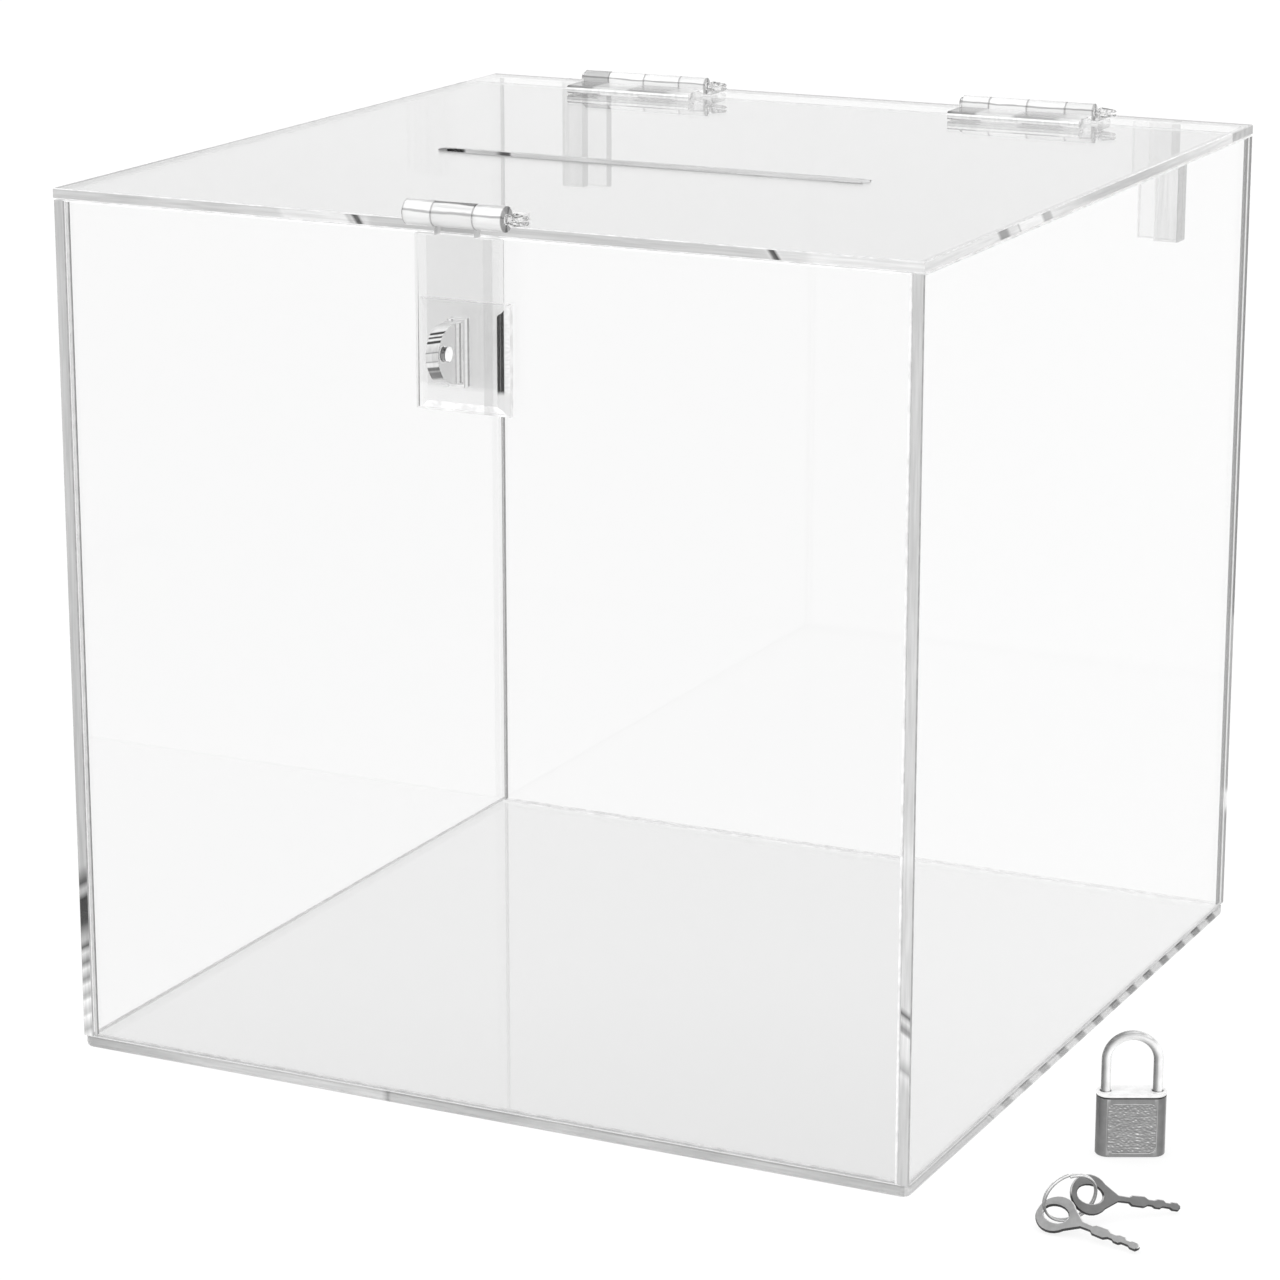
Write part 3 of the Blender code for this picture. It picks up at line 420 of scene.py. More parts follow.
def make_sheets():
    # Tints of one clear acrylic: the lid's and the floor's darker tints are painted shade.
    wall = clear_acrylic("acrylic_wall", 0.955)
    top = clear_acrylic("acrylic_lid", 0.765)
    base = clear_acrylic("acrylic_floor", 0.905)
    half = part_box("floor_panel")[1].x
    high = 292 * MM
    span_x, span_y, down = (-half, half), (-half, half), (high, 0.0)

    # Edge greys, one each: painted reflections and painted refraction shade of the polished edges.
    light = plain_edge("edge_light", 236)
    pale = plain_edge("edge_pale", 222)
    middle = plain_edge("edge_middle", 200)
    dark = plain_edge("edge_dark", 132)
    darker = plain_edge("edge_darker", 95)
    darkest = plain_edge("edge_darkest", 60)
    near_white = plain_edge("edge_near_white", 246)
    white = plain_edge("edge_white", 252)
    shade = plain_edge("edge_shade", 182)

    # Greys along each edge: bands of painted reflection and painted shade at the corners and rims.
    right_front = edge_look("edge_right_front", Z, down, (
        (0, 208), (0.4, 212), (0.79, 218), (0.797, 95), (0.803, 230), (0.815, 110), (0.82, 235), (0.845, 225),
        (0.86, 170), (0.865, 230), (0.88, 205), (1, 200),
    ), slant=0.6, lean=(X, half))
    left_front = edge_look("edge_left_front", Z, down, (
        (0, 200), (0.3, 205), (0.6, 200), (0.78, 195), (0.8, 60), (0.81, 200), (0.82, 40), (0.85, 60), (0.87, 190),
        (0.88, 70), (0.885, 230), (0.9, 110), (0.905, 240), (0.92, 130), (0.925, 245), (0.94, 160), (0.945, 250),
        (0.96, 190), (0.965, 250), (0.98, 180), (0.99, 245),
    ), slant=-0.6, lean=(X, -half))
    right_back = edge_look("edge_right_back", Z, down, (
        (0, 75), (0.3, 45), (0.6, 35), (0.61, 150), (0.7, 120), (0.83, 115), (0.84, 245), (0.855, 240), (0.865, 110),
        (1, 120),
    ))
    lid_front = edge_look("edge_lid_front", X, span_x, (
        (0.0, 205), (0.1, 196), (0.14, 205), (0.2, 197), (0.284, 206), (0.287, 226), (0.366, 226), (0.369, 60),
        (0.372, 226), (0.375, 70), (0.381, 80), (0.383, 205), (0.54, 205), (0.545, 212), (0.7, 205), (0.838, 210),
        (0.841, 228), (0.843, 110), (0.848, 60), (0.851, 235), (0.853, 228), (1.0, 222),
    ), slant=0.7, lean=(Z, high))
    lid_right = edge_look("edge_lid_right", Y, span_y, (
        (0, 240), (0.2, 240), (0.205, 150), (0.225, 150), (0.232, 225), (0.255, 225), (0.257, 150), (0.26, 235),
        (0.27, 240), (0.322, 242), (0.326, 165), (0.347, 170), (0.352, 225), (0.403, 215), (0.5, 185), (0.62, 180),
        (0.71, 195), (0.8, 215), (0.924, 225),
    ), slant=1.0, lean=(Z, high))
    lid_left = edge_look("edge_lid_left", Y, span_y, (
        (0, 135), (0.3, 150), (0.32, 200), (1, 190),
    ), stripes=(11 * MM, 0.34, 0.15, 0.45))
    floor_front = edge_look("edge_floor_front", X, span_x, (
        (0, 165), (0.1, 185), (0.2, 200), (0.3, 200), (0.385, 195), (0.39, 130), (0.394, 178), (0.5, 172),
        (0.6, 185), (0.68, 180), (0.78, 170), (0.83, 188), (0.9, 178), (1, 175),
    ))
    floor_right = edge_look("edge_floor_right", Y, span_y, (
        (0, 202), (0.228, 198), (0.232, 180), (0.24, 206), (0.6, 200), (1, 186),
    ), slant=1.4, stripes=(17.2 * MM, 0.24, 0.4, 0.8))

    # The slot's walls: painted shade, nearly black on the near wall, and painted reflections.
    slot_span = (-80 * MM, 80 * MM)
    slot_far = edge_look("edge_slot_far", X, slot_span, (
        (0, 40), (0.045, 45), (0.05, 190), (0.12, 175), (0.135, 70), (0.155, 70), (0.16, 195), (0.5, 200), (1, 208),
    ))
    slot_near = edge_look("edge_slot_near", X, slot_span, (
        (0, 20), (0.06, 45), (0.5, 55), (0.7, 110), (0.76, 60), (0.8, 130), (0.92, 110), (0.94, 30), (1, 25),
    ), clear=0.0)

    sheet("front_panel", wall, {
        LEFT: (middle, dark), RIGHT: (near_white, near_white), UP: (light, white), None: (shade, middle),
    })
    sheet("back_panel", wall, {LEFT: (dark, dark), RIGHT: (darkest, darkest), UP: (light, white), None: (pale, pale)})
    sheet("left_panel", wall, {
        FRONT: (left_front, shade), BACK: (pale, darker), UP: (light, white), None: (shade, middle),
    })
    sheet("right_panel", wall, {
        FRONT: (right_front, shade), BACK: (right_back, shade), UP: (light, white), None: (shade, middle),
    })
    sheet("top_rear_strip", wall, {
        RIGHT: (shade, pale), FRONT: (light, pale), BACK: (dark, dark), None: (pale, middle),
    }, THIN_CHAMFER)
    sheet("lid", top, {
        FRONT: (lid_front, white), RIGHT: (lid_right, white), LEFT: (lid_left, dark),
        "hole" + FRONT: (slot_far, middle), "hole" + BACK: (slot_near, slot_near),
        "hole" + LEFT: (dark, dark), "hole" + RIGHT: (dark, dark), None: (light, pale),
    }, THIN_CHAMFER)
    sheet("floor_panel", base, {
        FRONT: (floor_front, floor_front), RIGHT: (floor_right, floor_right), BACK: (light, light),
        None: (shade, middle),
    })


def make_rails():
    # Painted shade and reflection: the darker left spacer, the spacer streaks and the rail edges' greys.
    lip = clear_acrylic("acrylic_rail", 0.9)
    pale = plain_edge("rail_pale", 225)
    dark = plain_edge("rail_dark", 132)
    line = plain_edge("rail_line", 165)
    for word, tint in (("left", 0.74), ("right", 0.88)):
        spacer = streaky_acrylic(f"acrylic_rail_spacer_{word}", tint * 0.8, tint, 500, (1, 1, 0.05), (0.4, 0.55))
        for part, look, inner in (("lip", lip, pale), ("spacer", spacer, pale if word == "right" else line)):
            sheet(
                f"sign_rail_{word}_{part}", look, {RIGHT: (dark, dark), None: (inner, pale)}, THIN_CHAMFER,
            )


# ---------------------------------------------------------------- fittings

HINGE_AXIS = AXIS_AT["lid_hinge"][1:]  # y and z of each barrel's axis
HASP_AXIS = AXIS_AT["hasp_hinge"][1:]
LEAF_THICK = 3 * MM
HASP_SLOPE = 5 * MM  # width of the sloped sides of the flap and the pad
HINGE_REACH = 3.2 * MM  # faces nearer to the axis than this are the barrel's
HASP_REACH = 4.3 * MM
RING_WIDTH = 0.45 * MM  # the dark ring at each end of a knuckle
RING_TONE = 0.3
BARREL_ROUND = (  # painted reflection and shade as display level around a barrel, from the back through the bottom, the front and the top
    (0.0, 236), (0.08, 236), (0.14, 205), (0.2, 190), (0.22, 90), (0.24, 110), (0.27, 235), (0.45, 240),
    (0.5, 235), (0.55, 240), (0.66, 225), (0.69, 100), (0.715, 110), (0.73, None), (0.8, None), (0.83, 252),
    (0.93, 254), (0.95, 175), (0.965, 180), (0.98, 240), (1.0, 236),
)


def barrel_look(name, axis, knuckles, crown):
    """Clear knuckles: painted lines of reflection and shade along the barrel, dark rings at the joints, and a tone
    for each knuckle.

    knuckles is a list of (start x, end x, tone). crown is the display level painted along the barrel's top, painted
    reflection and shade.
    """
    made, nodes, links, output = new_material(name)
    shader = principled(nodes, links, output, Roughness=0.04, IOR=ACRYLIC, Transmission_Weight=0.3)
    axes = object_axes(nodes, links)
    wave = noise_of(nodes, links, 260, 2.0, (0.3, 1, 1))
    sway = spread(nodes, links, wave, 0.3, 0.7, -0.35, 0.35)
    out = maths(nodes, links, "SUBTRACT", axes[Y], axis[0])
    rise = maths(nodes, links, "SUBTRACT", axes[Z], axis[1])
    angle = maths(nodes, links, "ARCTAN2", rise, out)
    turned = maths(nodes, links, "ADD", angle, maths(nodes, links, "MULTIPLY", sway, 0.3))
    share = spread(nodes, links, turned, -math.pi, math.pi)
    around = ramp(nodes, links, share, [
        (at, grey(crown if level is None else level)) for at, level in BARREL_ROUND
    ])
    low, high = knuckles[0][0], knuckles[-1][1]
    ring = RING_WIDTH / (high - low)
    stops = []
    for start, end, tone in knuckles:
        first, last = (start - low) / (high - low), (end - low) / (high - low)
        stops += [(first, RING_TONE), (first + ring, tone), (last - ring, tone), (last, RING_TONE)]
    along = ramp(nodes, links, spread(nodes, links, axes[X], low, high), stops)
    links.new(maths(nodes, links, "MULTIPLY", around, along), shader.inputs["Base Color"])
    return made


def knuckles_of(lengths, centre, tones):
    """Knuckles of these lengths side by side about a centre: a list of (start x, end x, tone)."""
    made, start = [], centre - sum(lengths) / 2
    for length, tone in zip(lengths, tones):
        made.append((start, start + length, tone))
        start += length
    return made


def make_hinges():
    lengths = (10.5 * MM, 14.5 * MM, 14.5 * MM, 10.5 * MM)
    # Painted refraction streaks on the pins.
    pin = streaky_acrylic("acrylic_pin", 0.3, 0.97, 900)
    clear = clear_acrylic("acrylic_leaf", 0.95)
    leaf_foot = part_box("hinge_left_lid_leaf")[0].z
    # The leaf's front edge: a painted highlight with painted shade lines.
    bright = edge_look("leaf_front", Z, (leaf_foot + LEAF_THICK, leaf_foot), (
        (0, 232), (0.12, 252), (0.42, 254), (0.5, 190), (0.62, 222), (0.85, 226), (1, 165),
    ))
    # Painted shade on the leaves' left end faces.
    dark = plain_edge("leaf_dark", 120)
    for word, tones in (("left", (0.6, 0.98, 0.95, 0.9)), ("right", (0.95, 0.98, 0.92, 0.85))):
        low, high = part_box(f"hinge_{word}_lid_leaf")
        knuckles = knuckles_of(lengths, (low.x + high.x) / 2, tones)
        barrel = barrel_look(f"acrylic_hinge_barrel_{word}", HINGE_AXIS, knuckles, 236)
        # Greys along the top of each leaf: painted shade and painted reflection.
        top = edge_look(f"leaf_top_{word}", X, (low.x, high.x), (
            (0, 90), (0.015, 120), (0.04, 150), (0.2, 158), (0.23, 220), (0.48, 222), (0.52, 172), (0.8, 176),
            (0.86, 215), (1, 232),
        ), clear=0.25)

        def leaf_paint(face):
            middle, normal = face.calc_center_median(), face.normal
            if math.hypot(middle.y - HINGE_AXIS[0], middle.z - HINGE_AXIS[1]) < HINGE_REACH:
                return barrel
            if normal.x < -0.9:
                return dark
            if abs(normal.y) > 0.75:
                return bright
            return top if normal.z > 0.2 else clear

        for part in ("lid_leaf", "body_leaf"):
            node = f"hinge_{word}_{part}"
            shape = solid_of(node)
            chamfer(shape, 0.25 * MM, 2, 40)
            finish(
                node + "_moulding", shape, node, [barrel, top, bright, clear, dark],
                paint=leaf_paint,
            )
        node = f"hinge_{word}_pin"
        shape = solid_of(node)
        chamfer(shape, 0.15 * MM, 2, 40)
        finish(node + "_moulding", shape, node, [pin])


def lighter_below(made, low, high, level):
    """Turns a look's tone to a level on the way down from one height to another."""
    nodes, links = made.node_tree.nodes, made.node_tree.links
    shader = next(node for node in nodes if node.type == "BSDF_PRINCIPLED")
    tone = shader.inputs["Base Color"].links[0].from_socket
    share = spread(nodes, links, object_axes(nodes, links)[Z], low, high)
    kept = maths(nodes, links, "MULTIPLY", tone, share)
    added = maths(nodes, links, "MULTIPLY", maths(nodes, links, "SUBTRACT", 1.0, share), grey(level))
    links.new(maths(nodes, links, "ADD", kept, added), shader.inputs["Base Color"])


def make_hasp():
    flap_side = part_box("hasp_flap")[1].x
    pad_low, pad_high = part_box("hasp_pad")
    staple_low, staple_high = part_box("hasp_staple")
    knuckles = knuckles_of((10 * MM, 14.5 * MM, 10 * MM), 0, (0.98, 0.92, 0.98))
    # Painted reflection and shade round the barrels; the flap's barrel has a darker painted crown.
    barrel = barrel_look("acrylic_hasp_barrel", HASP_AXIS, knuckles, 205)
    flap_barrel = barrel_look("acrylic_flap_barrel", HASP_AXIS, knuckles, 118)
    pin = streaky_acrylic("acrylic_hasp_pin", 0.2, 0.97, 800)
    # Painted highlight: the flap's plate is near white below about 245 mm, a darker tint above.
    plate = graded_acrylic("acrylic_flap", Z, (240 * MM, 250 * MM), (
        (0, 0.99), (0.5, 0.98), (0.6, 0.81), (1, 0.81),
    ), FLAP_INDEX)
    slope = clear_acrylic("acrylic_flap_slope", 0.98, FLAP_INDEX)
    # Painted shade: the flap's right slope is darker on its inner half.
    slope_right = graded_acrylic("acrylic_flap_slope_right", X, (flap_side - HASP_SLOPE, flap_side), (
        (0, 0.7), (0.5, 0.7), (0.6, 0.9), (1, 0.96),
    ), FLAP_INDEX)
    pad_plate = clear_acrylic("acrylic_pad", 0.92)
    # Painted greys on the flap's edges, neck and foot; bright is a painted highlight on the pad's lower slopes.
    edge = plain_edge("flap_edge", 228)
    bright = plain_edge("flap_bright", 252)
    grey_line = plain_edge("flap_line", 190)
    # Painted shade: the pad's right slope, near black as its total reflection shows, lighter below.
    black = edge_look("pad_slope_right", X, (pad_high.x - HASP_SLOPE, pad_high.x), (
        (0, 110), (0.05, 45), (0.62, 38), (0.66, 60), (0.7, 225), (1, 238),
    ))
    lighter_below(black, pad_low.z + 7 * MM, pad_low.z + 8.5 * MM, 218)
    foot = plain_edge("hasp_foot", 226)
    # Painted shade and reflection on the walls of the flap's slot.
    slot_wall = edge_look("flap_slot_wall", Y, (HASP_AXIS[0] - 2 * MM, HASP_AXIS[0] + 2 * MM), (
        (0, 190), (0.2, 195), (0.25, 240), (0.62, 244), (0.7, 140), (1, 150),
    ))

    def on_barrel(face):
        middle = face.calc_center_median()
        return math.hypot(middle.y - HASP_AXIS[0], middle.z - HASP_AXIS[1]) < HASP_REACH

    shape = solid_of("hasp_lid_leaf")
    chamfer(shape, 0.3 * MM, 2, 40)
    finish(
        "hasp_lid_leaf_moulding", shape, "hasp_lid_leaf", [barrel, foot],
        paint=lambda face: barrel if on_barrel(face) else foot,
    )
    shape = solid_of("hasp_pin")
    chamfer(shape, 0.15 * MM, 2, 40)
    finish("hasp_pin_moulding", shape, "hasp_pin", [pin])

    def flap_paint(face):
        normal, middle = face.normal, face.calc_center_median()
        if on_barrel(face):
            return flap_barrel
        if abs(normal.y) > 0.98:
            return plate
        if middle.z > 293.2 * MM:  # the neck below the barrel
            return grey_line
        if abs(middle.x) < 3.2 * MM and 245 * MM < middle.z < 268 * MM:  # in the slot
            return slot_wall if abs(normal.x) > 0.7 else edge
        if abs(normal.y) > 0.3 and face.calc_area() > 20 * MM * MM:
            return slope if normal.x < 0 else slope_right
        if abs(normal.x) > 0.9 and abs(middle.x) > 14 * MM:
            return slope
        return edge

    shape = solid_of("hasp_flap")
    chamfer(shape, 0.2 * MM, 2, 40)
    looks = [plate, slope, slope_right, edge, flap_barrel, slot_wall, grey_line]
    finish("hasp_flap_moulding", shape, "hasp_flap", looks, paint=flap_paint)

    def pad_paint(face):
        normal = face.normal
        if abs(normal.y) > SQUARE_ON:
            return pad_plate
        if normal.x > 0.95:
            return edge
        if normal.x > 0.2:
            return black
        if normal.z < -0.2:
            return bright
        return slope if normal.x < -0.2 else pad_plate

    shape = solid_of("hasp_pad")
    chamfer(shape, 0.2 * MM, 1, 40)
    finish(
        "hasp_pad_moulding", shape, "hasp_pad", [pad_plate, bright, black, edge, slope],
        paint=pad_paint,
    )

    # Painted bands of reflection and shade down the staple's front.
    painted_bands = edge_look("staple_painted_bands", Z, (staple_high.z, staple_low.z), (
        (0, 200), (0.06, 235), (0.085, 235), (0.095, 45), (0.115, 50), (0.125, 235), (0.14, 240), (0.15, 60),
        (0.165, 60), (0.18, 248), (0.2, 235), (0.21, 30), (0.235, 35), (0.25, 245), (0.36, 222), (0.375, 145),
        (0.39, 242), (0.5, 228), (0.515, 160), (0.53, 242), (0.59, 232), (0.61, 95), (0.65, 90), (0.67, 160),
        (0.7, 100), (0.78, 110), (0.83, 215), (1, 225),
    ), slant=-0.18, lean=(X, 0.0), clear=0.3)
    side = clear_acrylic("acrylic_staple", 0.86)
    # Painted highlight on the front faces of the staple's hole, painted shade on its inner faces.
    white = plain_edge("staple_white", 254)
    hole_dark = plain_edge("staple_dark", 20)
    hole_y, hole_z, hole_reach = -169.4 * MM, 258 * MM, 2.6 * MM

    def staple_paint(face):
        normal, middle = face.normal, face.calc_center_median()
        if abs(normal.x) > 0.9:
            return side
        if math.hypot(middle.y - hole_y, middle.z - hole_z) < hole_reach:
            return white if normal.y < 0 else hole_dark
        return painted_bands if middle.y < -161.5 * MM else grey_line

    shape = solid_of("hasp_staple")
    chamfer(shape, 0.25 * MM, 1, 40)
    finish(
        "hasp_staple_moulding", shape, "hasp_staple", [side, painted_bands, white, hole_dark, grey_line],
        paint=staple_paint,
    )


# ---------------------------------------------------------------- metal

PADLOCK_PLACE = Vector((*AXIS_AT["plug_turn"][:2], 0))
PADLOCK_TURN = math.radians(26.1)
ACROSS = (math.cos(PADLOCK_TURN), math.sin(PADLOCK_TURN), 0)  # along the padlock's width


def metal(name, stops, roughness, direction=ACROSS, grain=0.4, share_metal=1.0):
    """Metal whose tone, painted light and shade, follows how far the surface turns to a direction: stops are (turn
    from -1 to 1, level).
    """
    made, nodes, links, output = new_material(name)
    shader = principled(nodes, links, output, Roughness=roughness, Metallic=share_metal)
    place = nodes.new("ShaderNodeTexCoord")
    turn = nodes.new("ShaderNodeVectorMath")
    turn.operation = "DOT_PRODUCT"
    turn.inputs[1].default_value = direction
    links.new(place.outputs["Normal"], turn.inputs[0])
    share = spread(nodes, links, turn.outputs["Value"], -1, 1)
    tone = ramp(nodes, links, share, [((at + 1) / 2, grey(level)) for at, level in stops])
    worn = spread(nodes, links, noise_of(nodes, links, 350, 4.0), 0.3, 0.7, 0.9, 1.08)
    links.new(maths(nodes, links, "MULTIPLY", tone, worn), shader.inputs["Base Color"])
    bump(nodes, links, shader, noise_of(nodes, links, 2500, 2.0), 0.02 * MM, grain)
    return made


def wear(node, material):
    """Gives a CAD node its material."""
    obj = NODES[node]
    obj.data.materials.clear()
    obj.data.materials.append(material)


def padlock_frame():
    return Matrix.Translation(PADLOCK_PLACE) @ Matrix.Rotation(PADLOCK_TURN, 4, "Z")


def hammered_panel(shape, side):
    """A hammered slab lying in the case's recess on one side (-1 front, 1 back)."""
    columns, rows = 86, 92
    wide, tall, low = 15.5 * MM, 16.5 * MM, 1.65 * MM
    front, back = 3.94 * MM, 3.5 * MM
    frame_of = padlock_frame()
    grid = []
    for row in range(rows + 1):
        line = []
        for column in range(columns + 1):
            x, z = wide * (column / columns - 0.5), low + tall * row / rows
            spot = Vector((x + 0.5 * z, side * 40 * MM, 1.5 * z)) / (0.78 * MM)
            dent = noise.noise(spot) * 0.105 * MM + noise.noise(spot * 2.1) * 0.04 * MM
            line.append(shape.verts.new(frame_of @ Vector((x, side * (front + dent), z))))
        grid.append(line)
    rear = []
    for row in (0, rows):
        z = low + tall * row / rows
        rear.append([shape.verts.new(frame_of @ Vector((wide * s, side * back, z))) for s in (-0.5, 0.5)])
    made = []
    for row in range(rows):
        for column in range(columns):
            made.append((
                grid[row][column], grid[row][column + 1], grid[row + 1][column + 1], grid[row + 1][column],
            ))
    made.append((rear[0][0], rear[1][0], rear[1][1], rear[0][1]))
    made.append((*grid[0][::-1], *rear[0]))
    made.append((*grid[rows], rear[1][1], rear[1][0]))
    made.append((*[line[0] for line in grid], rear[1][0], rear[0][0]))
    made.append((*[line[columns] for line in grid][::-1], rear[0][1], rear[1][1]))
    return [shape.faces.new(corners if side < 0 else corners[::-1]) for corners in made]


def make_padlock():
    # Painted shade on the case's rounded sides, painted highlights on up-facing dents of the hammered panels and on
    # the recess rim.
    case = metal("case_steel", (
        (-1, 116), (-0.75, 122), (-0.3, 138), (-0.05, 150), (0.05, 150), (0.35, 136), (0.7, 122), (0.85, 140),
        (0.95, 172), (1, 182),
    ), 0.38)
    panel = metal("hammered_steel", (
        (-1, 118), (-0.25, 124), (-0.1, 138), (0.02, 152), (0.13, 172), (0.2, 218), (0.3, 250), (1, 252),
    ), 0.34, UPWARDS, 0.2, 0.6)
    lip = metal("bright_edge", (
        (-1, 205), (-0.7, 200), (-0.4, 140), (0.0, 150), (0.35, 205), (0.7, 245), (1, 250),
    ), 0.3, (-0.5 * ACROSS[0], -0.5 * ACROSS[1], 0.85), 0.1, 0.4)
    shape = solid_of("padlock_body")
    case_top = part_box("padlock_body")[1].z
    frame_of = padlock_frame().inverted()

    def by_panel(middle):
        return 1 * MM < middle.z < 18.6 * MM and abs(middle.x) < 8 * MM

    def recess(edge):
        middle = frame_of @ ((edge.verts[0].co + edge.verts[1].co) / 2)
        return abs(middle.y) > 4.1 * MM and by_panel(middle)

    def top_rim(edge):
        level = all(abs(vert.co.z - case_top) < 0.05 * MM for vert in edge.verts)
        return level and abs((frame_of @ edge.verts[0].co).y) > 3 * MM

    chamfer(shape, 0.26 * MM, 2, 40, recess)
    chamfer(shape, 0.25 * MM, 2, 60, top_rim)
    slabs = set()
    for side in (-1, 1):
        slabs.update(hammered_panel(shape, side))

    def paint(face):
        if face in slabs:
            return panel
        middle = frame_of @ face.calc_center_median()
        in_wall = 3.7 * MM < abs(middle.y) < 4.195 * MM and by_panel(middle)
        return lip if in_wall and face.calc_area() < 6 * MM * MM else case

    finish("padlock_case", shape, "padlock_body", [case, panel, lip], False, paint)

    # Painted highlight on the plate's top.
    plate_look = metal("plate_steel", (
        (-1, 150), (-0.3, 190), (0.0, 246), (0.3, 225), (0.9, 254), (1, 254),
    ), 0.3, UPWARDS, 0.1, 0.15)
    shape = solid_of("padlock_top_plate")
    chamfer(shape, 0.3 * MM, 3, 60)
    finish("padlock_plate", shape, "padlock_top_plate", [plate_look], False)
    make_shackle()


def make_shackle():
    """The shackle's rod as rings of corners from heel to toe, with a flat-bottomed notch in the toe's leg."""
    low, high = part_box("padlock_shackle")
    heel, toe = low.z, 13.1 * MM
    rod, half = 1.57 * MM, 8.3 * MM  # the rod's radius, and half the way from leg to leg
    notch_low, notch_high, notch_face = 14.6 * MM, 18.95 * MM, half - rod + 0.92 * MM
    bend = high.z - rod - half
    sides, arc_steps = 32, 64
    frame_of = padlock_frame()
    rings = [(-half, heel, 0, rod * 0.8, None), (-half, heel + 0.25 * MM, 0, rod, None)]  # x, z, angle, radius, cut
    for step in range(arc_steps + 1):
        turn = math.pi * step / arc_steps
        rings.append((-half * math.cos(turn), bend + half * math.sin(turn), turn, rod, None))
    for z, cut in ((notch_high, None), (notch_high, notch_face), (notch_low, notch_face), (notch_low, None)):
        rings.append((half, z, math.pi, rod, cut))
    rings += [(half, toe + 0.25 * MM, math.pi, rod, None), (half, toe, math.pi, rod * 0.8, None)]
    shape = bmesh.new()
    loops = []
    for x, z, turn, radius, cut in rings:
        loop = []
        for step in range(sides):
            around = 2 * math.pi * step / sides
            out, depth = radius * math.cos(around), radius * math.sin(around)
            spot = Vector((x - out * math.cos(turn), depth, z + out * math.sin(turn)))
            if cut is not None:
                spot.x = max(spot.x, cut)
            loop.append(shape.verts.new(frame_of @ spot))
        loops.append(loop)
    for first, second in zip(loops, loops[1:]):
        for step in range(sides):
            after = (step + 1) % sides
            shape.faces.new((first[step], second[step], second[after], first[after]))
    shape.faces.new(loops[0])
    shape.faces.new(loops[-1][::-1])
    bmesh.ops.dissolve_degenerate(shape, dist=0.001 * MM, edges=shape.edges)
    bmesh.ops.recalc_face_normals(shape, faces=shape.faces)
    # Painted shade down one side of the shackle, painted highlight on the other.
    look = metal("shackle_steel", (
        (-1, 128), (-0.8, 120), (-0.55, 140), (-0.35, 165), (-0.15, 205), (0.05, 232), (0.5, 252), (0.8, 246),
        (0.95, 215), (1, 190),
    ), 0.2, ACROSS, 0.1, 0.5)
    finish("padlock_shackle_rod", shape, "padlock_shackle", [look], False)


def slope_rim(shape, side, width):
    """Slopes the rim of the plate's face that looks to side, round its outline and its hole alike."""
    shape.normal_update()
    top = {face for face in shape.faces if face.normal.dot(side) > SQUARE_ON}
    rims = [edge for edge in shape.edges if len(top.intersection(edge.link_faces)) == 1]
    walls = {}
    for edge in rims:
        wall = next(face for face in edge.link_faces if face not in top)
        for vert in edge.verts:
            walls.setdefault(vert, []).append(wall.normal.copy())
    inner = {}
    for vert, (first, second) in walls.items():
        inward = (first + second) / (1 + max(first.dot(second), -0.6))
        inner[vert] = shape.verts.new(vert.co - inward * width)
    bmesh.ops.delete(shape, geom=list(top), context="FACES_ONLY")
    for vert in walls:
        vert.co -= side * width
    rings = []
    for edge in rims:
        first, second = edge.verts
        wall = edge.link_faces[0]
        loop = next(loop for loop in wall.loops if loop.edge == edge)
        if loop.vert == first:
            first, second = second, first
        shape.faces.new((first, second, inner[second], inner[first]))
        rings.append(shape.edges.get((inner[first], inner[second])))
    bmesh.ops.triangle_fill(shape, use_beauty=True, edges=rings, normal=side)
    shape.normal_update()


KEY_SLOPE = 0.32 * MM


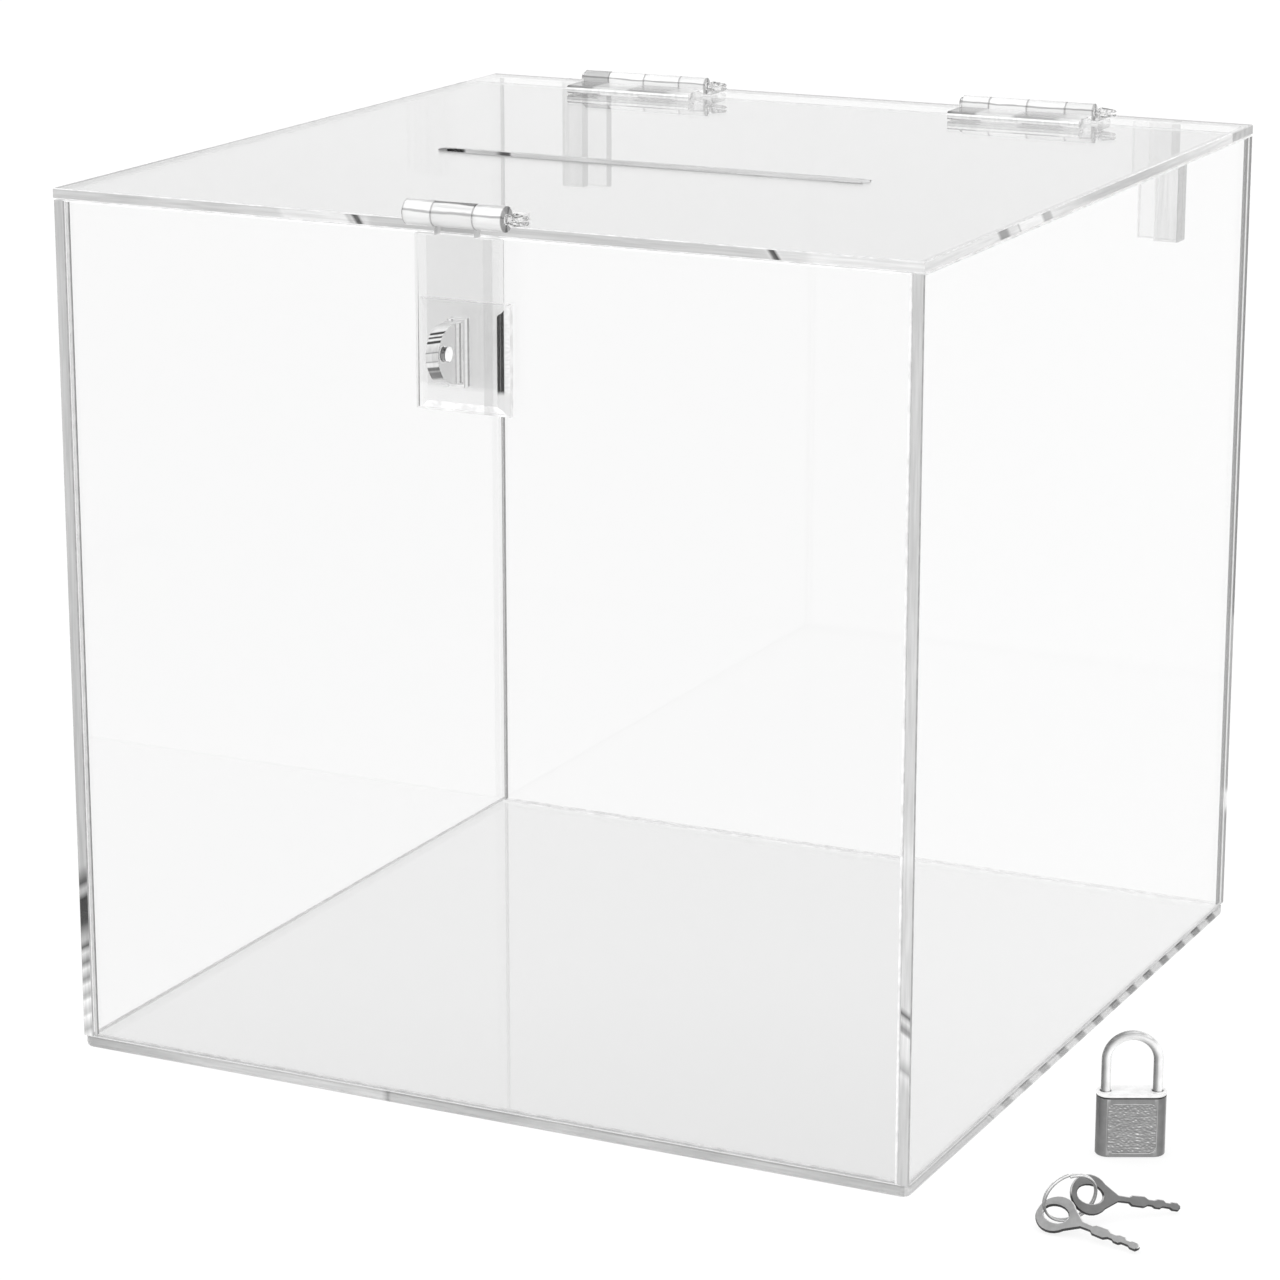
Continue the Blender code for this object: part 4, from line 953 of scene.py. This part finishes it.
def make_keys():
    for node, slot, level, shine in (("key_1", "key_dark", 132, 205), ("key_2", "key_light", 174, 240)):
        shape = solid_of(node)
        front = max(shape.faces, key=lambda face: face.calc_area()).normal.copy()
        if front.z < 0:
            front.negate()
        for side in (front, -front):
            slope_rim(shape, side, KEY_SLOPE)
        # Painted light and shade on the keys: faces darker where they turn away, rims a painted highlight above and
        # painted shade below, sides painted shade.
        face_look = metal(node + "_face", (
            (-1, 90), (-0.5, level * 0.9), (0.9, level * 0.97), (1, level * 0.97),
        ), 0.4, front, 0.4, 0.3)
        rim_look = metal(node + "_edge", (
            (-1, 35), (0.0, 45), (0.45, 60), (0.62, shine), (1, shine),
        ), 0.3, UPWARDS, 0.2, 0.3)
        side_look = metal(node + "_side", ((-1, 30), (0.0, 42), (0.35, 150), (1, 215)), 0.35, UPWARDS, 0.2, 0.4)

        def paint(face):
            share = abs(face.normal.dot(front))
            if share > 0.95:
                return face_look
            return rim_look if share > 0.3 else side_look

        finish(node + "_blade", shape, node, [face_look, rim_look, side_look], False, paint)


def make_bolt_spring(look):
    """The bolt's spring stays seated in the case, riding with the padlock's body on a mesh of its own."""
    shape = solid_of("padlock_bolt_spring")
    spring = finish("padlock_bolt_coil", shape, "padlock_bolt_spring", [look], False)
    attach(spring, "padlock")
    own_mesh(spring)


def make_metal():
    # Painted light and shade, lighter facing up, on the springs, the brass and the key ring.
    bright = metal("bright_steel", ((-1, 120), (-0.5, 200), (0.2, 250), (1, 250)), 0.15, UPWARDS, 0.1)
    brass = metal("brass", ((-1, 150), (1, 185)), 0.3, UPWARDS)
    for node in ("padlock_plug", "padlock_bolt"):
        wear(node, brass)
    make_bolt_spring(bright)
    wear("padlock_shackle_spring", bright)
    ring = metal("ring_steel", ((-1, 70), (-0.4, 110), (0.1, 175), (0.55, 250), (1, 252)), 0.25, UPWARDS, 0.1, 0.3)
    wear("key_ring", ring)
    make_padlock()
    make_keys()


make_camera()
make_studio()
make_sheets()
make_rails()
make_hinges()
make_hasp()
make_metal()
